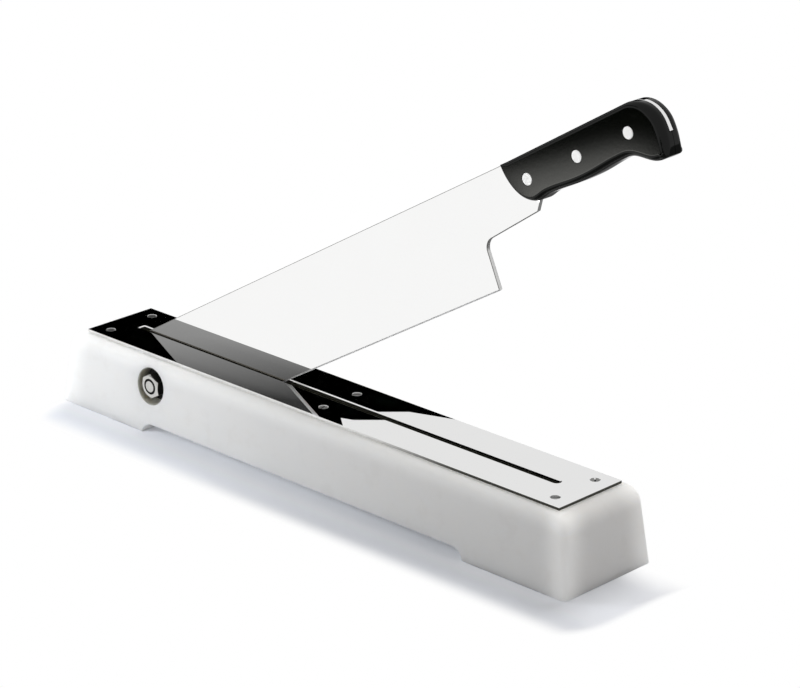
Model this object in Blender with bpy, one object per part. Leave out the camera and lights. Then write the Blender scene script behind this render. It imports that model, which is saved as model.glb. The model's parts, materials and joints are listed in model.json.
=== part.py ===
"""Salt cod cutter: a long blade hinged in a slotted block.

A white plastic block stands on two feet and carries a polished steel plate. A slot runs down the middle
of both. The blade turns on a bolt that crosses the block near one end, and its three-riveted handle
reaches past the other end. Lengths are in metres, +Z is up, +X runs along the block towards the handle,
and the table is at z = 0, with the origin under the middle of the whole cutter.
"""

import math

import bmesh
import bpy
from mathutils import Vector
from mathutils.geometry import interpolate_bezier

MM = 0.001

# Clearances between pieces that sit, screw or turn in each other
SEAT_GAP = 0.3 * MM
THREAD_GAP = 0.3 * MM
TURNING_GAP = 0.3 * MM

# Top plate
PLATE_LENGTH = 450 * MM
PLATE_WIDTH = 60 * MM
PLATE_THICKNESS = 2 * MM
SLOT_START = 24 * MM
SLOT_END_INSET = 26 * MM
SLOT_CORNER_RADIUS = 0.6 * MM
BLADE_SIDE_CLEARANCE = 1.25 * MM

# Block under the plate
BLOCK_HEIGHT = 53.7 * MM
BLOCK_LEDGE = 0.5 * MM
BLOCK_DRAFT = math.radians(5)
BLOCK_END_ROUND = 12 * MM
BLOCK_SIDE_ROUND = 7 * MM
BLOCK_CORNER_RADIUS_LOW = 3 * MM
BLOCK_CORNER_RADIUS_HIGH = 6 * MM
BLOCK_CORNER_RADIUS_AT_PLATE = 2 * MM
BLOCK_EDGE_BREAK = 0.6 * MM
BLOCK_SLOT_FLOOR = 4 * MM
BLOCK_SLOT_END_MARGIN = 0.4 * MM

# Recess between the two feet
PIVOT_FOOT_LENGTH = 85 * MM
HANDLE_FOOT_LENGTH = 88 * MM
RECESS_HEIGHT = 7.5 * MM
RECESS_END_RADIUS = 10 * MM

# Plate screws, in three pairs: how far each pair is from the plate's end or middle, and from its sides
SCREW_INSET_PIVOT_END = 13 * MM
SCREW_INSET_HANDLE_END = 13 * MM
MIDDLE_SCREWS_OFF_CENTRE = 1.5 * MM
SCREW_SIDE_INSET_PIVOT_END = 10.5 * MM
SCREW_SIDE_INSET_MIDDLE = 14 * MM
SCREW_SIDE_INSET_HANDLE_END = 11 * MM
SCREW_HEAD_DIAMETER = 6 * MM
SCREW_HEAD_RIM = 0.25 * MM
SCREW_HEAD_RECESSED = 0.05 * MM
SCREW_SHANK_DIAMETER = 3 * MM
SCREW_LENGTH = 25 * MM
SCREW_POINT_LENGTH = 4 * MM
SCREW_DRIVE_WIDTH = 1 * MM
SCREW_DRIVE_DEPTH = 0.9 * MM
SCREW_DRIVE_ANGLES = (48, 58, 100, 46, 40, 134)

# Pivot, with its bolt along Y
PIVOT_FROM_PLATE_END = 76.2 * MM
PIVOT_BELOW_BLOCK_TOP = 18.3 * MM
BOLT_DIAMETER = 10 * MM
BOLT_HEAD_HEIGHT = 6.4 * MM
BOLT_END_PROUD = 0.2 * MM
BOLT_END_CHAMFER = 0.9 * MM
HEX_ACROSS_FLATS = 16 * MM
HEX_CHAMFER = math.radians(30)
NUT_HEIGHT = 8.4 * MM
NUT_PROUD = 0.7 * MM
WASHER_DIAMETER = 24 * MM
WASHER_THICKNESS = 2 * MM
WASHER_EDGE_BREAK = 0.2 * MM
COUNTERBORE_CLEARANCE = 1.3 * MM
BUSH_WALL = 1.7 * MM
SHIM_DIAMETER = 24 * MM
SHIM_THICKNESS = 0.9 * MM

# Blade, with heights from the pivot's axis. Laid level, its edge would pass this far over the table.
REST_ANGLE = math.radians(30.5)
BLADE_THICKNESS = 3 * MM
SPINE_HEIGHT = 39.2 * MM
EDGE_OVER_TABLE = 3.2 * MM
TIP_CLEARANCE = 3.9 * MM
TIP_CORNER_RADIUS = 3.5 * MM
TIP_ARC_END = 262
BELLY_LENGTH = 90 * MM
HEEL_TO_SLOT_END = 23.6 * MM
HEEL_RAKE = 2.7 * MM
NOTCH_RADIUS = 8 * MM
NOTCH_DEPTH = 38.9 * MM
SHOULDER_IN_HANDLE = 9.2 * MM
SHOULDER_RISE = 3.5 * MM
GRIND_WIDTH = 29 * MM
BEVEL_WIDTH = 2.5 * MM
BEVEL_THICKNESS = 0.8 * MM
GRINDING_OVERRUN = 1 * MM

# Handle, with depths from the spine. Laid level, its front would be this far inside the plate's end.
HANDLE_FRONT_INSET = 1.8 * MM
HANDLE_LENGTH = 135.2 * MM
HANDLE_THICKNESS = 17 * MM
HANDLE_TOP_RISE = 1.8 * MM
BUTT_RADIUS = 20.5 * MM
FRONT_SWEEP = 18.3 * MM
FRONT_DEPTH = 30 * MM
CHOIL_FROM_FRONT = 30 * MM
CHOIL_DEPTH = 28.6 * MM
BELLY_FROM_BUTT = 75 * MM
BELLY_DEPTH = 30 * MM
HOLLOW_FROM_BUTT = 36 * MM
HOLLOW_DEPTH = 27.9 * MM
HOOK_FROM_BUTT = 9.5 * MM
HOOK_DEPTH = 38 * MM
HEEL_OF_BUTT_INSET = 4 * MM
HEEL_OF_BUTT_RISE = 0.4 * MM
TANG_DEPTH = 24.1 * MM
PARTING_GAP = 0.3 * MM
FRONT_ROUND = 0.8 * MM
GRIP_ROUND = 4 * MM
HOOK_ROUND = 3 * MM
BUTT_ROUND = 5 * MM
BACK_ROUND = 2.6 * MM

# How strongly the handle's curves are drawn out at their ends, as shares of their run
FRONT_CURL = 0.6
FRONT_LIFT = 0.1
CHOIL_PULL = 0.3
WAVE_PULL = 0.42
RIVET_DIAMETER = 8 * MM
RIVET_DEPTH = 15.1 * MM
RIVET_INSET_FRONT = 17.5 * MM
RIVET_INSET_BUTT = 25.6 * MM
RIVET_FLUSH_GAP = 0.05 * MM

# Cutters run this far past what they cut
PAST = 10 * MM

# How finely round shapes are stepped
WIDE_ROUND_STEPS = 56
ROUND_STEPS = 40
SMALL_ROUND_STEPS = 28
CORNER_STEPS = 5
BEND_STEPS = 9
SWEEP_STEPS = 14
WAVE_STEPS = 7
ROUNDING_STEPS = 5


def wall_reach(top_reach, rounding, height):
    """How far a wall of the block stands from the middle at a height.

    The wall leans in by the draft, then rolls over the rounding on to the flat top.
    """
    roll_start = BLOCK_HEIGHT - rounding * (1 - math.sin(BLOCK_DRAFT))
    if height <= roll_start:
        lean = (roll_start - height) * math.tan(BLOCK_DRAFT)
        return top_reach + rounding * math.cos(BLOCK_DRAFT) + lean
    rise = min(1, (height - BLOCK_HEIGHT + rounding) / rounding)
    return top_reach + rounding * math.sqrt(1 - rise * rise)


def end_reach(height):
    return wall_reach(PLATE_LENGTH / 2 + BLOCK_LEDGE, BLOCK_END_ROUND, height)


def side_reach(height):
    return wall_reach(PLATE_WIDTH / 2 + BLOCK_LEDGE, BLOCK_SIDE_ROUND, height)


# Places that follow from the sizes above
PLATE_UNDERSIDE = BLOCK_HEIGHT + SEAT_GAP
PLATE_TOP = PLATE_UNDERSIDE + PLATE_THICKNESS
PLATE_SLOT_WIDTH = BLADE_THICKNESS + 2 * BLADE_SIDE_CLEARANCE
BLOCK_SLOT_WIDTH = BLADE_THICKNESS + 2 * (TURNING_GAP + SHIM_THICKNESS + SEAT_GAP)
PIVOT_HEIGHT = BLOCK_HEIGHT - PIVOT_BELOW_BLOCK_TOP
BORE_RADIUS = BOLT_DIAMETER / 2 + SEAT_GAP
BUSH_RADIUS = BORE_RADIUS + BUSH_WALL
NUT_FACE = side_reach(PIVOT_HEIGHT) + NUT_PROUD
HEX_SEAT = NUT_FACE - NUT_HEIGHT
WASHER_FACE = HEX_SEAT - SEAT_GAP - WASHER_THICKNESS
COUNTERBORE_FLOOR = WASHER_FACE - SEAT_GAP
HEX_RADIUS = HEX_ACROSS_FLATS / 2 / math.cos(math.pi / 6)
EDGE_DEPTH = PIVOT_HEIGHT - EDGE_OVER_TABLE
TIP_RADIUS = PIVOT_HEIGHT - BLOCK_SLOT_FLOOR - TIP_CLEARANCE
HEEL = PLATE_LENGTH - SLOT_END_INSET - PIVOT_FROM_PLATE_END - HEEL_TO_SLOT_END
HANDLE_FRONT = PLATE_LENGTH - PIVOT_FROM_PLATE_END - HANDLE_FRONT_INSET
BUTT = HANDLE_FRONT + HANDLE_LENGTH
BACK_HEIGHT = SPINE_HEIGHT + HANDLE_TOP_RISE
TANG_UNDERSIDE = SPINE_HEIGHT - TANG_DEPTH
RIVET_HEIGHT = SPINE_HEIGHT - RIVET_DEPTH
NOTCH_HEIGHT = SPINE_HEIGHT - NOTCH_DEPTH
SHOULDER_HEIGHT = NOTCH_HEIGHT + SHOULDER_RISE
SHOULDER_END = HANDLE_FRONT + SHOULDER_IN_HANDLE


def clear_scene():
    for obj in list(bpy.data.objects):
        bpy.data.objects.remove(obj, do_unlink=True)


def material(name, colour, roughness, metallic=0.0):
    made = bpy.data.materials.new(name)
    made.use_nodes = True
    shader = made.node_tree.nodes["Principled BSDF"]
    shader.inputs["Base Color"].default_value = (*colour, 1)
    shader.inputs["Roughness"].default_value = roughness
    shader.inputs["Metallic"].default_value = metallic
    made.diffuse_color = (*colour, 1)
    return made


def empty(name, location, tilt=0.0, parent=None):
    """A frame that pieces are placed in. Tilt lifts its +X end."""
    made = bpy.data.objects.new(name, None)
    made.location = location
    made.rotation_euler = (0, -tilt, 0)
    made.parent = parent
    made.empty_display_size = 0.03
    bpy.context.scene.collection.objects.link(made)
    return made


def add_object(name, shape, finish, parent, location=(0, 0, 0), turn=0.0):
    """A piece made from a bmesh, its faces pointing out and its round faces smooth, turned about Z."""
    bmesh.ops.recalc_face_normals(shape, faces=shape.faces)
    mesh = bpy.data.meshes.new(name)
    shape.to_mesh(mesh)
    shape.free()
    mesh.shade_smooth()
    mesh.set_sharp_from_angle(angle=math.radians(32))
    if finish:
        mesh.materials.append(finish)
    made = bpy.data.objects.new(name, mesh)
    made.parent = parent
    made.location = location
    made.rotation_euler = (0, 0, turn)
    bpy.context.scene.collection.objects.link(made)
    return made


def combine(piece, step, shape, location=(0, 0, 0), operation="DIFFERENCE", turn=0.0):
    """Cuts a shape from a piece, joins it on, or keeps what they share. The shape stays as a guide."""
    guide = add_object(f"{piece.name}_{step}", shape, None, piece, location, turn)
    guide.hide_render = True
    guide.display_type = "WIRE"
    boolean = piece.modifiers.new(step, "BOOLEAN")
    boolean.operation = operation
    boolean.solver = "EXACT"
    boolean.object = guide


def arc(centre, radius, start, end, steps):
    """Points along an arc between two angles in degrees."""
    points = []
    for step in range(steps + 1):
        angle = math.radians(start + (end - start) * step / steps)
        points.append((centre[0] + radius * math.cos(angle), centre[1] + radius * math.sin(angle)))
    return points


def curve(start, leave, arrive, end, steps):
    """Points along a smooth curve, without its first point."""
    knots = [Vector((*point, 0)) for point in (start, leave, arrive, end)]
    return [(point.x, point.y) for point in interpolate_bezier(*knots, steps + 1)[1:]]


def prism(outline, low, high, along="Y"):
    """An outline pulled along an axis. Its points are given in the two other axes, in their order."""
    axis = "XYZ".index(along)
    shape = bmesh.new()
    corners = []
    for point in outline:
        place = list(point)
        place.insert(axis, low)
        corners.append(shape.verts.new(place))
    face = shape.faces.new(corners)
    pulled = bmesh.ops.extrude_face_region(shape, geom=[face])["geom"]
    far_corners = [item for item in pulled if isinstance(item, bmesh.types.BMVert)]
    pull = Vector((0, 0, 0))
    pull[axis] = high - low
    bmesh.ops.translate(shape, verts=far_corners, vec=pull)
    return shape


def turned(profile, along="Y", steps=ROUND_STEPS, closed=False):
    """A profile of radii and heights spun round an axis. A closed profile makes a ring."""
    axis = Vector((0, 1, 0)) if along == "Y" else Vector((0, 0, 1))
    shape = bmesh.new()
    points = [shape.verts.new(Vector((radius, 0, 0)) + axis * height) for radius, height in profile]
    pairs = list(zip(points, points[1:]))
    if closed:
        pairs.append((points[-1], points[0]))
    edges = [shape.edges.new(pair) for pair in pairs]
    bmesh.ops.spin(
        shape,
        geom=points + edges,
        cent=(0, 0, 0),
        axis=axis,
        angle=math.tau,
        steps=steps,
        use_merge=True,
    )
    bmesh.ops.remove_doubles(shape, verts=shape.verts, dist=0.001 * MM)
    return shape


def rod(radius, low, high, along="Y", steps=ROUND_STEPS):
    return turned([(0, low), (radius, low), (radius, high), (0, high)], along, steps)


def washer(inner, outer, low, high):
    """A ring along Y with its outer edges broken."""
    profile = [
        (inner, low),
        (outer - WASHER_EDGE_BREAK, low),
        (outer, low + WASHER_EDGE_BREAK),
        (outer, high - WASHER_EDGE_BREAK),
        (outer - WASHER_EDGE_BREAK, high),
        (inner, high),
    ]
    return turned(profile, closed=True)


def gathered(shapes):
    """Several shapes that stand apart as one, each moved to its place."""
    whole = bmesh.new()
    for shape, place in shapes:
        bmesh.ops.translate(shape, verts=shape.verts, vec=place)
        mesh = bpy.data.meshes.new("gathered")
        shape.to_mesh(mesh)
        shape.free()
        whole.from_mesh(mesh)
        bpy.data.meshes.remove(mesh)
    return whole


def along_plate(distance):
    """The X place, from the plate's middle, of a distance from its pivot end."""
    return distance - PLATE_LENGTH / 2


def corner_radius(height):
    """The upright corners open out upwards, and close in again where the top rolls over."""
    roll_start = BLOCK_HEIGHT - BLOCK_SIDE_ROUND
    if height <= roll_start:
        growth = BLOCK_CORNER_RADIUS_HIGH - BLOCK_CORNER_RADIUS_LOW
        return BLOCK_CORNER_RADIUS_LOW + growth * height / roll_start
    share = (height - roll_start) / BLOCK_SIDE_ROUND
    return BLOCK_CORNER_RADIUS_HIGH + (BLOCK_CORNER_RADIUS_AT_PLATE - BLOCK_CORNER_RADIUS_HIGH) * share**2


def rounded_rectangle(half_x, half_y, radius):
    points = []
    for quarter, (side_x, side_y) in enumerate([(1, 1), (-1, 1), (-1, -1), (1, -1)]):
        centre = (side_x * (half_x - radius), side_y * (half_y - radius))
        points += arc(centre, radius, 90 * quarter, 90 * quarter + 90, CORNER_STEPS)
    return points


def lofted_block():
    """The block's outer form, through rounded rectangles from the table up."""
    draft = math.degrees(BLOCK_DRAFT)
    roll = arc((0, BLOCK_HEIGHT - BLOCK_END_ROUND), BLOCK_END_ROUND, draft, 90, BEND_STEPS)
    heights = [BLOCK_EDGE_BREAK, roll[0][1] / 3, roll[0][1] * 2 / 3] + [height for _, height in roll]
    sections = [(0, end_reach(0) - BLOCK_EDGE_BREAK, side_reach(0) - BLOCK_EDGE_BREAK)]
    sections += [(height, end_reach(height), side_reach(height)) for height in heights]
    shape = bmesh.new()
    loops = []
    for height, half_x, half_y in sections:
        outline = rounded_rectangle(half_x, half_y, corner_radius(height))
        loops.append([shape.verts.new((x, y, height)) for x, y in outline])
    for lower, upper in zip(loops, loops[1:]):
        for index, corner in enumerate(lower):
            after = (index + 1) % len(lower)
            shape.faces.new((corner, lower[after], upper[after], upper[index]))
    shape.faces.new(loops[0])
    shape.faces.new(loops[-1])
    return shape


def slot_outline(width, margin):
    """The blade's slot from above: square across at the pivot end, round at the handle end."""
    half = width / 2
    inset = SLOT_CORNER_RADIUS
    first = along_plate(SLOT_START) - margin
    last = along_plate(PLATE_LENGTH - SLOT_END_INSET) + margin
    points = arc((last - half, 0), half, -90, 90, 2 * CORNER_STEPS)
    points += arc((first + inset, half - inset), inset, 90, 180, CORNER_STEPS)
    points += arc((first + inset, inset - half), inset, 180, 270, CORNER_STEPS)
    return points


def recess_outline():
    """The recess between the feet from the side, its ends left round by the cutter."""
    centre_height = RECESS_HEIGHT - RECESS_END_RADIUS
    foot_edge = math.sqrt(RECESS_END_RADIUS**2 - centre_height**2)
    first = PIVOT_FOOT_LENGTH - end_reach(0) + foot_edge
    last = end_reach(0) - HANDLE_FOOT_LENGTH - foot_edge
    below = math.degrees(math.asin(min(0, centre_height) / RECESS_END_RADIUS)) / 2
    points = arc((first, centre_height), RECESS_END_RADIUS, 180 + below, 90, BEND_STEPS)
    points += arc((last, centre_height), RECESS_END_RADIUS, 90, -below, BEND_STEPS)
    return points


def screw_places():
    """Each plate screw's name and its place on the plate."""
    rows = [
        ("pivot_end", along_plate(SCREW_INSET_PIVOT_END), SCREW_SIDE_INSET_PIVOT_END),
        ("middle", MIDDLE_SCREWS_OFF_CENTRE, SCREW_SIDE_INSET_MIDDLE),
        ("handle_end", along_plate(PLATE_LENGTH - SCREW_INSET_HANDLE_END), SCREW_SIDE_INSET_HANDLE_END),
    ]
    places = []
    for row, x, side_inset in rows:
        y = PLATE_WIDTH / 2 - side_inset
        places += [(f"plate_screw_{row}_near", x, -y), (f"plate_screw_{row}_far", x, y)]
    return places


def build_block(finish, frame):
    block = add_object("base_block", lofted_block(), finish, frame)
    slot = prism(
        slot_outline(BLOCK_SLOT_WIDTH, BLOCK_SLOT_END_MARGIN), BLOCK_SLOT_FLOOR, BLOCK_HEIGHT + PAST, "Z"
    )
    pilot = SCREW_SHANK_DIAMETER / 2 + THREAD_GAP
    pilot_end = PLATE_TOP - SCREW_LENGTH - SEAT_GAP
    tools = [(slot, (0, 0, 0))]
    for _, x, y in screw_places():
        tools.append((rod(pilot, pilot_end, PLATE_TOP, "Z", SMALL_ROUND_STEPS), (x, y, 0)))
    combine(block, "slot_and_pilots", gathered(tools))
    wide = side_reach(0) + PAST
    combine(block, "recess", prism(recess_outline(), -wide, wide))
    pivot = (along_plate(PIVOT_FROM_PLATE_END), 0, PIVOT_HEIGHT)
    radius = WASHER_DIAMETER / 2 + COUNTERBORE_CLEARANCE
    near = rod(radius, -wide, -COUNTERBORE_FLOOR, steps=WIDE_ROUND_STEPS)
    far = rod(radius, COUNTERBORE_FLOOR, wide, steps=WIDE_ROUND_STEPS)
    combine(block, "counterbores", gathered([(near, pivot), (far, pivot)]))
    combine(block, "pivot_bore", rod(BORE_RADIUS, -wide, wide), pivot)


def build_plate(finish, frame):
    half_x = PLATE_LENGTH / 2
    half_y = PLATE_WIDTH / 2
    outline = [(-half_x, -half_y), (half_x, -half_y), (half_x, half_y), (-half_x, half_y)]
    shape = prism(outline, 0, PLATE_THICKNESS, "Z")
    plate = add_object("top_plate", shape, finish, frame, (0, 0, PLATE_UNDERSIDE))
    head = SCREW_HEAD_DIAMETER / 2 + SEAT_GAP
    shank = SCREW_SHANK_DIAMETER / 2 + SEAT_GAP
    rim = -SCREW_HEAD_RECESSED - SCREW_HEAD_RIM
    countersink = [
        (0, PAST),
        (head, PAST),
        (head, rim),
        (shank, rim - (head - shank)),
        (shank, -PAST),
        (0, -PAST),
    ]
    tools = [(prism(slot_outline(PLATE_SLOT_WIDTH, 0), -PAST, PAST, "Z"), (0, 0, 0))]
    for _, x, y in screw_places():
        tools.append((turned(countersink, "Z", SMALL_ROUND_STEPS), (x, y, PLATE_THICKNESS)))
    combine(plate, "slot_and_countersinks", gathered(tools))


def build_plate_screws(finish, frame):
    """Slotted countersunk wood screws, flush with the plate."""
    head = SCREW_HEAD_DIAMETER / 2
    shank = SCREW_SHANK_DIAMETER / 2
    top = -SCREW_HEAD_RECESSED
    profile = [
        (0, top),
        (head, top),
        (head, top - SCREW_HEAD_RIM),
        (shank, top - SCREW_HEAD_RIM - (head - shank)),
        (shank, SCREW_POINT_LENGTH - SCREW_LENGTH),
        (0, -SCREW_LENGTH),
    ]
    half_width = SCREW_DRIVE_WIDTH / 2
    drive = [(-head - half_width, -half_width), (head + half_width, -half_width)]
    drive += [(head + half_width, half_width), (-head - half_width, half_width)]
    for (name, x, y), angle in zip(screw_places(), SCREW_DRIVE_ANGLES):
        body = turned(profile, "Z", SMALL_ROUND_STEPS)
        screw = add_object(name, body, finish, frame, (x, y, PLATE_TOP))
        slot = prism(drive, top - SCREW_DRIVE_DEPTH, PAST, "Z")
        combine(screw, "drive", slot, turn=math.radians(angle))


def hexagon(height, low, side):
    """A hexagon along Y with corners at top and bottom, from low to low + height on one side."""
    corners = arc((0, 0), HEX_RADIUS, 30, 330, 5)
    return prism(corners, side * low, side * (low + height))


def hex_turning(height, low, side):
    """The turned form that takes the outer corners off a hexagon's outer face."""
    outer = HEX_RADIUS + SEAT_GAP
    flat = HEX_ACROSS_FLATS / 2 - SEAT_GAP
    end = low + height
    shoulder = end - (outer - flat) * math.tan(HEX_CHAMFER)
    profile = [(0, low - PAST), (outer, low - PAST), (outer, shoulder), (flat, end), (0, end)]
    return turned([(radius, side * reach) for radius, reach in profile], steps=WIDE_ROUND_STEPS)


def build_pivot(steel, plastic, frame):
    """The bolt and nut, their washers, the bush that the blade turns on, and the shims beside it."""
    pivot = empty("pivot_axis", (along_plate(PIVOT_FROM_PLATE_END), 0, PIVOT_HEIGHT), parent=frame)
    bolt = add_object("pivot_bolt", hexagon(BOLT_HEAD_HEIGHT, HEX_SEAT, 1), steel, pivot)
    combine(bolt, "turning", hex_turning(BOLT_HEAD_HEIGHT, HEX_SEAT, 1), operation="INTERSECT")
    radius = BOLT_DIAMETER / 2
    end = -NUT_FACE - BOLT_END_PROUD
    shank = [
        (0, end),
        (radius - BOLT_END_CHAMFER, end),
        (radius, end + BOLT_END_CHAMFER),
        (radius, HEX_SEAT + BOLT_HEAD_HEIGHT / 2),
        (0, HEX_SEAT + BOLT_HEAD_HEIGHT / 2),
    ]
    combine(bolt, "shank", turned(shank), operation="UNION")

    nut = add_object("pivot_nut", hexagon(NUT_HEIGHT, HEX_SEAT, -1), steel, pivot)
    combine(nut, "turning", hex_turning(NUT_HEIGHT, HEX_SEAT, -1), operation="INTERSECT")
    bore = radius + THREAD_GAP
    mouth = bore + BOLT_END_CHAMFER / 2
    threaded = [
        (0, -NUT_FACE - PAST),
        (mouth, -NUT_FACE - PAST),
        (mouth, -NUT_FACE),
        (bore, -NUT_FACE + BOLT_END_CHAMFER / 2),
        (bore, 0),
        (0, 0),
    ]
    combine(nut, "bore", turned(threaded))

    for name, side in [("near", -1), ("far", 1)]:
        faces = sorted((side * WASHER_FACE, side * (WASHER_FACE + WASHER_THICKNESS)))
        add_object(f"pivot_washer_{name}", washer(BORE_RADIUS, WASHER_DIAMETER / 2, *faces), steel, pivot)
        inner = BLADE_THICKNESS / 2 + TURNING_GAP
        outer = BLOCK_SLOT_WIDTH / 2 - SEAT_GAP
        faces = sorted((side * inner, side * outer))
        shim = washer(BUSH_RADIUS + TURNING_GAP, SHIM_DIAMETER / 2, *faces)
        add_object(f"blade_shim_{name}", shim, plastic, pivot)
    half_bush = BLOCK_SLOT_WIDTH / 2 - SEAT_GAP
    add_object("pivot_bush", washer(BORE_RADIUS, BUSH_RADIUS, -half_bush, half_bush), steel, pivot)


def butt_and_back():
    """The butt's round and the handle's back, from the butt's side to the handle's front."""
    centre = (BUTT - BUTT_RADIUS, BACK_HEIGHT - BUTT_RADIUS)
    return arc(centre, BUTT_RADIUS, 0, 90, SWEEP_STEPS) + [(HANDLE_FRONT, SPINE_HEIGHT)]


def blade_outline():
    """The blade and its tang from the side, anticlockwise from the tip's corner by the spine."""
    corner_centre = (TIP_CORNER_RADIUS - TIP_RADIUS, SPINE_HEIGHT - TIP_CORNER_RADIUS)
    points = arc(corner_centre, TIP_CORNER_RADIUS, 90, 180, CORNER_STEPS)
    points += arc((0, 0), TIP_RADIUS, 180, TIP_ARC_END, SWEEP_STEPS)
    low = -EDGE_DEPTH - GRINDING_OVERRUN
    start = Vector(points[-1])
    leave = start + Vector((-start.y, start.x)).normalized() * BELLY_LENGTH / 3
    points += curve(start, leave, (BELLY_LENGTH * 2 / 3, low), (BELLY_LENGTH, low), BEND_STEPS)
    notch_centre = (HEEL + HEEL_RAKE + NOTCH_RADIUS, NOTCH_HEIGHT - NOTCH_RADIUS)
    slope = HEEL_RAKE / (EDGE_DEPTH + notch_centre[1])
    points.append((HEEL - slope * GRINDING_OVERRUN, low))
    points += arc(notch_centre, NOTCH_RADIUS, 180, 90, BEND_STEPS)
    points.append((SHOULDER_END, SHOULDER_HEIGHT))
    points.append((tang_start(), TANG_UNDERSIDE))
    points.append((BUTT, TANG_UNDERSIDE))
    return points + butt_and_back()


def tang_start():
    """Where the tang's underside begins, after the step that rises from the shoulder at 45 degrees."""
    return SHOULDER_END + TANG_UNDERSIDE - SHOULDER_HEIGHT


def ground_section():
    """What grinding leaves, seen along the blade: a long taper, then a steeper bevel at the edge."""
    half = BLADE_THICKNESS / 2
    bevel_half = BEVEL_THICKNESS / 2
    bevel_top = BEVEL_WIDTH - EDGE_DEPTH
    slope = (GRIND_WIDTH - BEVEL_WIDTH) / (half - bevel_half)
    clear = half + GRINDING_OVERRUN
    clear_height = GRIND_WIDTH - EDGE_DEPTH + slope * GRINDING_OVERRUN
    right = [(bevel_half, bevel_top), (clear, clear_height), (clear, BACK_HEIGHT + PAST)]
    left = [(-across, height) for across, height in reversed(right)]
    return [(0, -EDGE_DEPTH)] + right + left


def rivet_places():
    first = HANDLE_FRONT + RIVET_INSET_FRONT
    last = BUTT - RIVET_INSET_BUTT
    return {"front": first, "middle": (first + last) / 2, "rear": last}


def rivet_holes():
    radius = RIVET_DIAMETER / 2 + SEAT_GAP
    shapes = []
    for place in rivet_places().values():
        hole = rod(radius, -HANDLE_THICKNESS, HANDLE_THICKNESS, steps=SMALL_ROUND_STEPS)
        shapes.append((hole, (place, 0, RIVET_HEIGHT)))
    return gathered(shapes)


def build_blade(steel, hinge):
    half = BLADE_THICKNESS / 2
    blade = add_object("blade", prism(blade_outline(), -half, half), steel, hinge)
    ground = prism(ground_section(), -TIP_RADIUS - PAST, BUTT + PAST, "X")
    combine(blade, "grinding", ground, operation="INTERSECT")
    hole = BUSH_RADIUS + TURNING_GAP
    combine(blade, "pivot_hole", rod(hole, -PAST, PAST))
    combine(blade, "rivet_holes", rivet_holes())


def handle_outline():
    """A scale's outline from its front corner down and round, with how far each point is rounded."""
    top = (HANDLE_FRONT, SPINE_HEIGHT)
    front = (HANDLE_FRONT + FRONT_SWEEP, SPINE_HEIGHT - FRONT_DEPTH)
    choil = (HANDLE_FRONT + CHOIL_FROM_FRONT, SPINE_HEIGHT - CHOIL_DEPTH)
    belly = (BUTT - BELLY_FROM_BUTT, SPINE_HEIGHT - BELLY_DEPTH)
    hollow = (BUTT - HOLLOW_FROM_BUTT, SPINE_HEIGHT - HOLLOW_DEPTH)
    hook = (BUTT - HOOK_FROM_BUTT, SPINE_HEIGHT - HOOK_DEPTH)
    heel = (BUTT - HEEL_OF_BUTT_INSET, hook[1] + HEEL_OF_BUTT_RISE)
    side = (BUTT, BACK_HEIGHT - BUTT_RADIUS)

    curl = (front[0] - FRONT_CURL * FRONT_SWEEP, front[1] + FRONT_LIFT * FRONT_SWEEP)
    sweep = [top] + curve(top, (top[0], (top[1] + front[1]) / 2), curl, front, BEND_STEPS)
    points = list(sweep)
    growth = GRIP_ROUND - FRONT_ROUND
    rounding = [FRONT_ROUND + growth * (step / BEND_STEPS) ** 3 for step in range(len(sweep))]

    for end, start_pull in [(choil, CHOIL_PULL), (belly, WAVE_PULL), (hollow, WAVE_PULL), (hook, WAVE_PULL)]:
        start = points[-1]
        run = end[0] - start[0]
        leave = (start[0] + start_pull * run, start[1])
        wave = curve(start, leave, (end[0] - WAVE_PULL * run, end[1]), end, WAVE_STEPS)
        points += wave
        rounding += [GRIP_ROUND] * len(wave)

    points += [((hook[0] + heel[0]) / 2, hook[1]), heel]
    rounding += [HOOK_ROUND, HOOK_ROUND]
    rise = (side[1] - heel[1]) / 2
    leave = (heel[0] + HEEL_OF_BUTT_INSET / 2, heel[1] + rise / 2)
    butt = curve(heel, leave, (side[0], side[1] - rise), side, WAVE_STEPS)
    butt += butt_and_back()[1:-1]
    points += butt
    rounding += [HOOK_ROUND, GRIP_ROUND] + [BUTT_ROUND] * (len(butt) - 2)
    lead = 2 * BACK_ROUND
    points.append((HANDLE_FRONT + lead, SPINE_HEIGHT + HANDLE_TOP_RISE * lead / HANDLE_LENGTH))
    return points, rounding + [BACK_ROUND]


def handle_scale(side):
    """One scale, its outer face flat, rounded over to the outline by a different amount all round."""
    outline, rounding = handle_outline()
    points = [Vector((*point, 0)) for point in outline]
    inward = []
    for index, point in enumerate(points):
        before = point - points[index - 1]
        after = points[(index + 1) % len(points)] - point
        first = Vector((-before.y, before.x, 0)).normalized()
        bisector = (first + Vector((-after.y, after.x, 0)).normalized()).normalized()
        inward.append(bisector / bisector.dot(first))
    shape = bmesh.new()
    loops = [[shape.verts.new((point.x, side * PARTING_GAP / 2, point.y)) for point in points]]
    for step in range(ROUNDING_STEPS + 1):
        angle = math.pi / 2 * step / ROUNDING_STEPS
        loop = []
        for point, normal, radius in zip(points, inward, rounding):
            place = point + normal * radius * (1 - math.cos(angle))
            reach = HANDLE_THICKNESS / 2 - radius * (1 - math.sin(angle))
            loop.append(shape.verts.new((place.x, side * reach, place.y)))
        loops.append(loop)
    for lower, upper in zip(loops, loops[1:]):
        for index, corner in enumerate(lower):
            after = (index + 1) % len(lower)
            shape.faces.new((corner, lower[after], upper[after], upper[index]))
    shape.faces.new(loops[0])
    shape.faces.new(loops[-1])
    return shape


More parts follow.
